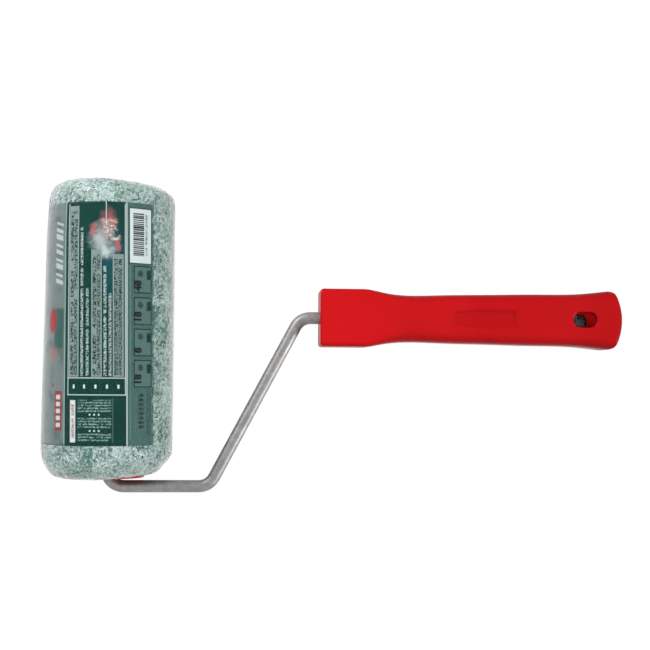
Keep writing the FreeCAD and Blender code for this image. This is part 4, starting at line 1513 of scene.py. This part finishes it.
@dataclass
class Studio:
    """Floor, lamps, world and camera."""

    target: Vector
    distance: float = 0.8
    elevation: float = 87.0
    roll: float = 0.35
    lens: float = 68.2
    floor_half: float = 2.5
    floor_glow: float = 1.06
    shadow_reach: float = 0.03

    def build(self) -> None:
        """Build the whole studio."""
        self.build_floor()
        self.build_world()
        self.build_lamp("key", (-0.85, 0.95, 0.75), 0.36, 11.4)
        self.build_lamp("fill", (2.1, -0.9, 0.72), 0.45, 28.0)
        self.build_lamp("glint", (-1.15, 0.85, 0.45), 0.1, 2.4)
        self.build_camera()

    def build_floor(self) -> None:
        """A plain pale floor: white when seen, mirrored or behind film, dim to lamps, with painted shade that
        darkens it close under the tool and in a hole.
        """
        half = self.floor_half
        corners = np.array([[-half, -half, 0], [half, -half, 0], [half, half, 0], [-half, half, 0]], float)
        floor = build_piece("floor", corners, [np.array([[0, 1, 2, 3]])])
        material = bpy.data.materials.new("floor_white")
        material.use_nodes = True
        material.node_tree.nodes.clear()
        sheet = NodeSheet(material.node_tree)
        path = sheet.add("ShaderNodeLightPath")
        seen = sheet.largest(*(path.outputs[key] for key in SHOWN_TO))
        reach = {"Distance": self.shadow_reach}
        sky = sheet.add("ShaderNodeAmbientOcclusion", reach, samples=8).outputs["AO"]
        pale = sheet.blend(path.outputs["Is Diffuse Ray"], (0.85, 0.85, 0.85), (0.25, 0.25, 0.25))
        # Painted shade: where ambient occlusion finds the tool close overhead, the floor seen by the camera
        # loses its glow and turns to a dark matt colour.
        shade = sheet.maths("MAXIMUM", sheet.ramp(sky, 0.2, 0.5), sheet.maths("SUBTRACT", 1.0, seen))
        matt = sheet.add("ShaderNodeBsdfDiffuse", {"Color": sheet.blend(shade, (0.0, 0.0, 0.0), pale)})
        glow = sheet.add("ShaderNodeEmission", {"Color": (1.0, 1.0, 1.0, 1.0), "Strength": self.floor_glow})
        share = sheet.maths("MULTIPLY", seen, sheet.ramp(sky, 0.31, 0.47, (0.0, 0.95)))
        mix = sheet.add("ShaderNodeMixShader", {0: share, 1: matt.outputs[0], 2: glow.outputs[0]})
        sheet.add("ShaderNodeOutputMaterial", {"Surface": mix.outputs[0]})
        floor.data.materials.append(material)

    @staticmethod
    def build_world() -> None:
        """A soft sky, brightest overhead, which is white when seen, mirrored or behind film."""
        world = bpy.data.worlds.new("studio")
        bpy.context.scene.world = world
        world.use_nodes = True
        world.node_tree.nodes.clear()
        sheet = NodeSheet(world.node_tree)
        path = sheet.add("ShaderNodeLightPath")
        way = sheet.split(sheet.add("ShaderNodeTexCoord").outputs["Generated"])
        overhead = sheet.maths("MAXIMUM", way["Z"], 0.0)
        lighting = sheet.maths("MULTIPLY_ADD", overhead, 0.62, 0.2)
        strength = sheet.largest(lighting, *(path.outputs[key] for key in SHOWN_TO))
        glow = sheet.add("ShaderNodeBackground", {"Color": (1.0, 1.0, 1.0, 1.0), "Strength": strength})
        sheet.add("ShaderNodeOutputWorld", {"Surface": glow.outputs[0]})

    @staticmethod
    def build_lamp(name: str, place: tuple[float, float, float], size: float, power: float) -> None:
        """Add a square soft lamp that faces the tool.

        Args:
            name: Lamp name.
            place: Where it is.
            size: Side length.
            power: Power in watts.
        """
        lamp = bpy.data.lights.new(name, "AREA")
        lamp.size = size
        lamp.energy = power
        holder = bpy.data.objects.new(name, lamp)
        bpy.context.scene.collection.objects.link(holder)
        holder.location = place
        holder.rotation_euler = (-Vector(place)).to_track_quat("-Z", "Y").to_euler()

    def build_camera(self) -> None:
        """Add the camera, almost straight above the tool."""
        view = bpy.data.cameras.new("camera")
        view.lens = self.lens
        view.sensor_width = 36.0
        camera = bpy.data.objects.new("camera", view)
        bpy.context.scene.collection.objects.link(camera)
        rise = math.radians(self.elevation)
        away = Vector((0.0, -math.cos(rise), math.sin(rise)))
        camera.location = self.target + self.distance * away
        facing = (-away).to_track_quat("-Z", "Y").to_matrix().to_4x4()
        camera.rotation_euler = (facing @ Matrix.Rotation(math.radians(self.roll), 4, "Z")).to_euler()
        bpy.context.scene.camera = camera


def write_sizes() -> None:
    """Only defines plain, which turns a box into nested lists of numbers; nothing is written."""
    def plain(box: object) -> list:
        """The box as nested lists of numbers."""
        return [[float(c) for c in corner] for corner in box]


def main() -> None:
    """Build the sub-assemblies in order and report them."""
    logging.basicConfig(level=logging.INFO)
    bpy.context.scene.view_settings.view_transform = "Standard"
    effects = Effects()
    form = SleeveForm.from_frame()
    HardParts(effects).build()
    Sleeve(form, effects).build()
    centre = Vector(form.centre)
    Studio(target=centre + Vector((140.4 * MM, 6.0 * MM, 0.0))).build()
    write_sizes()


if __name__ == "__main__":
    main()
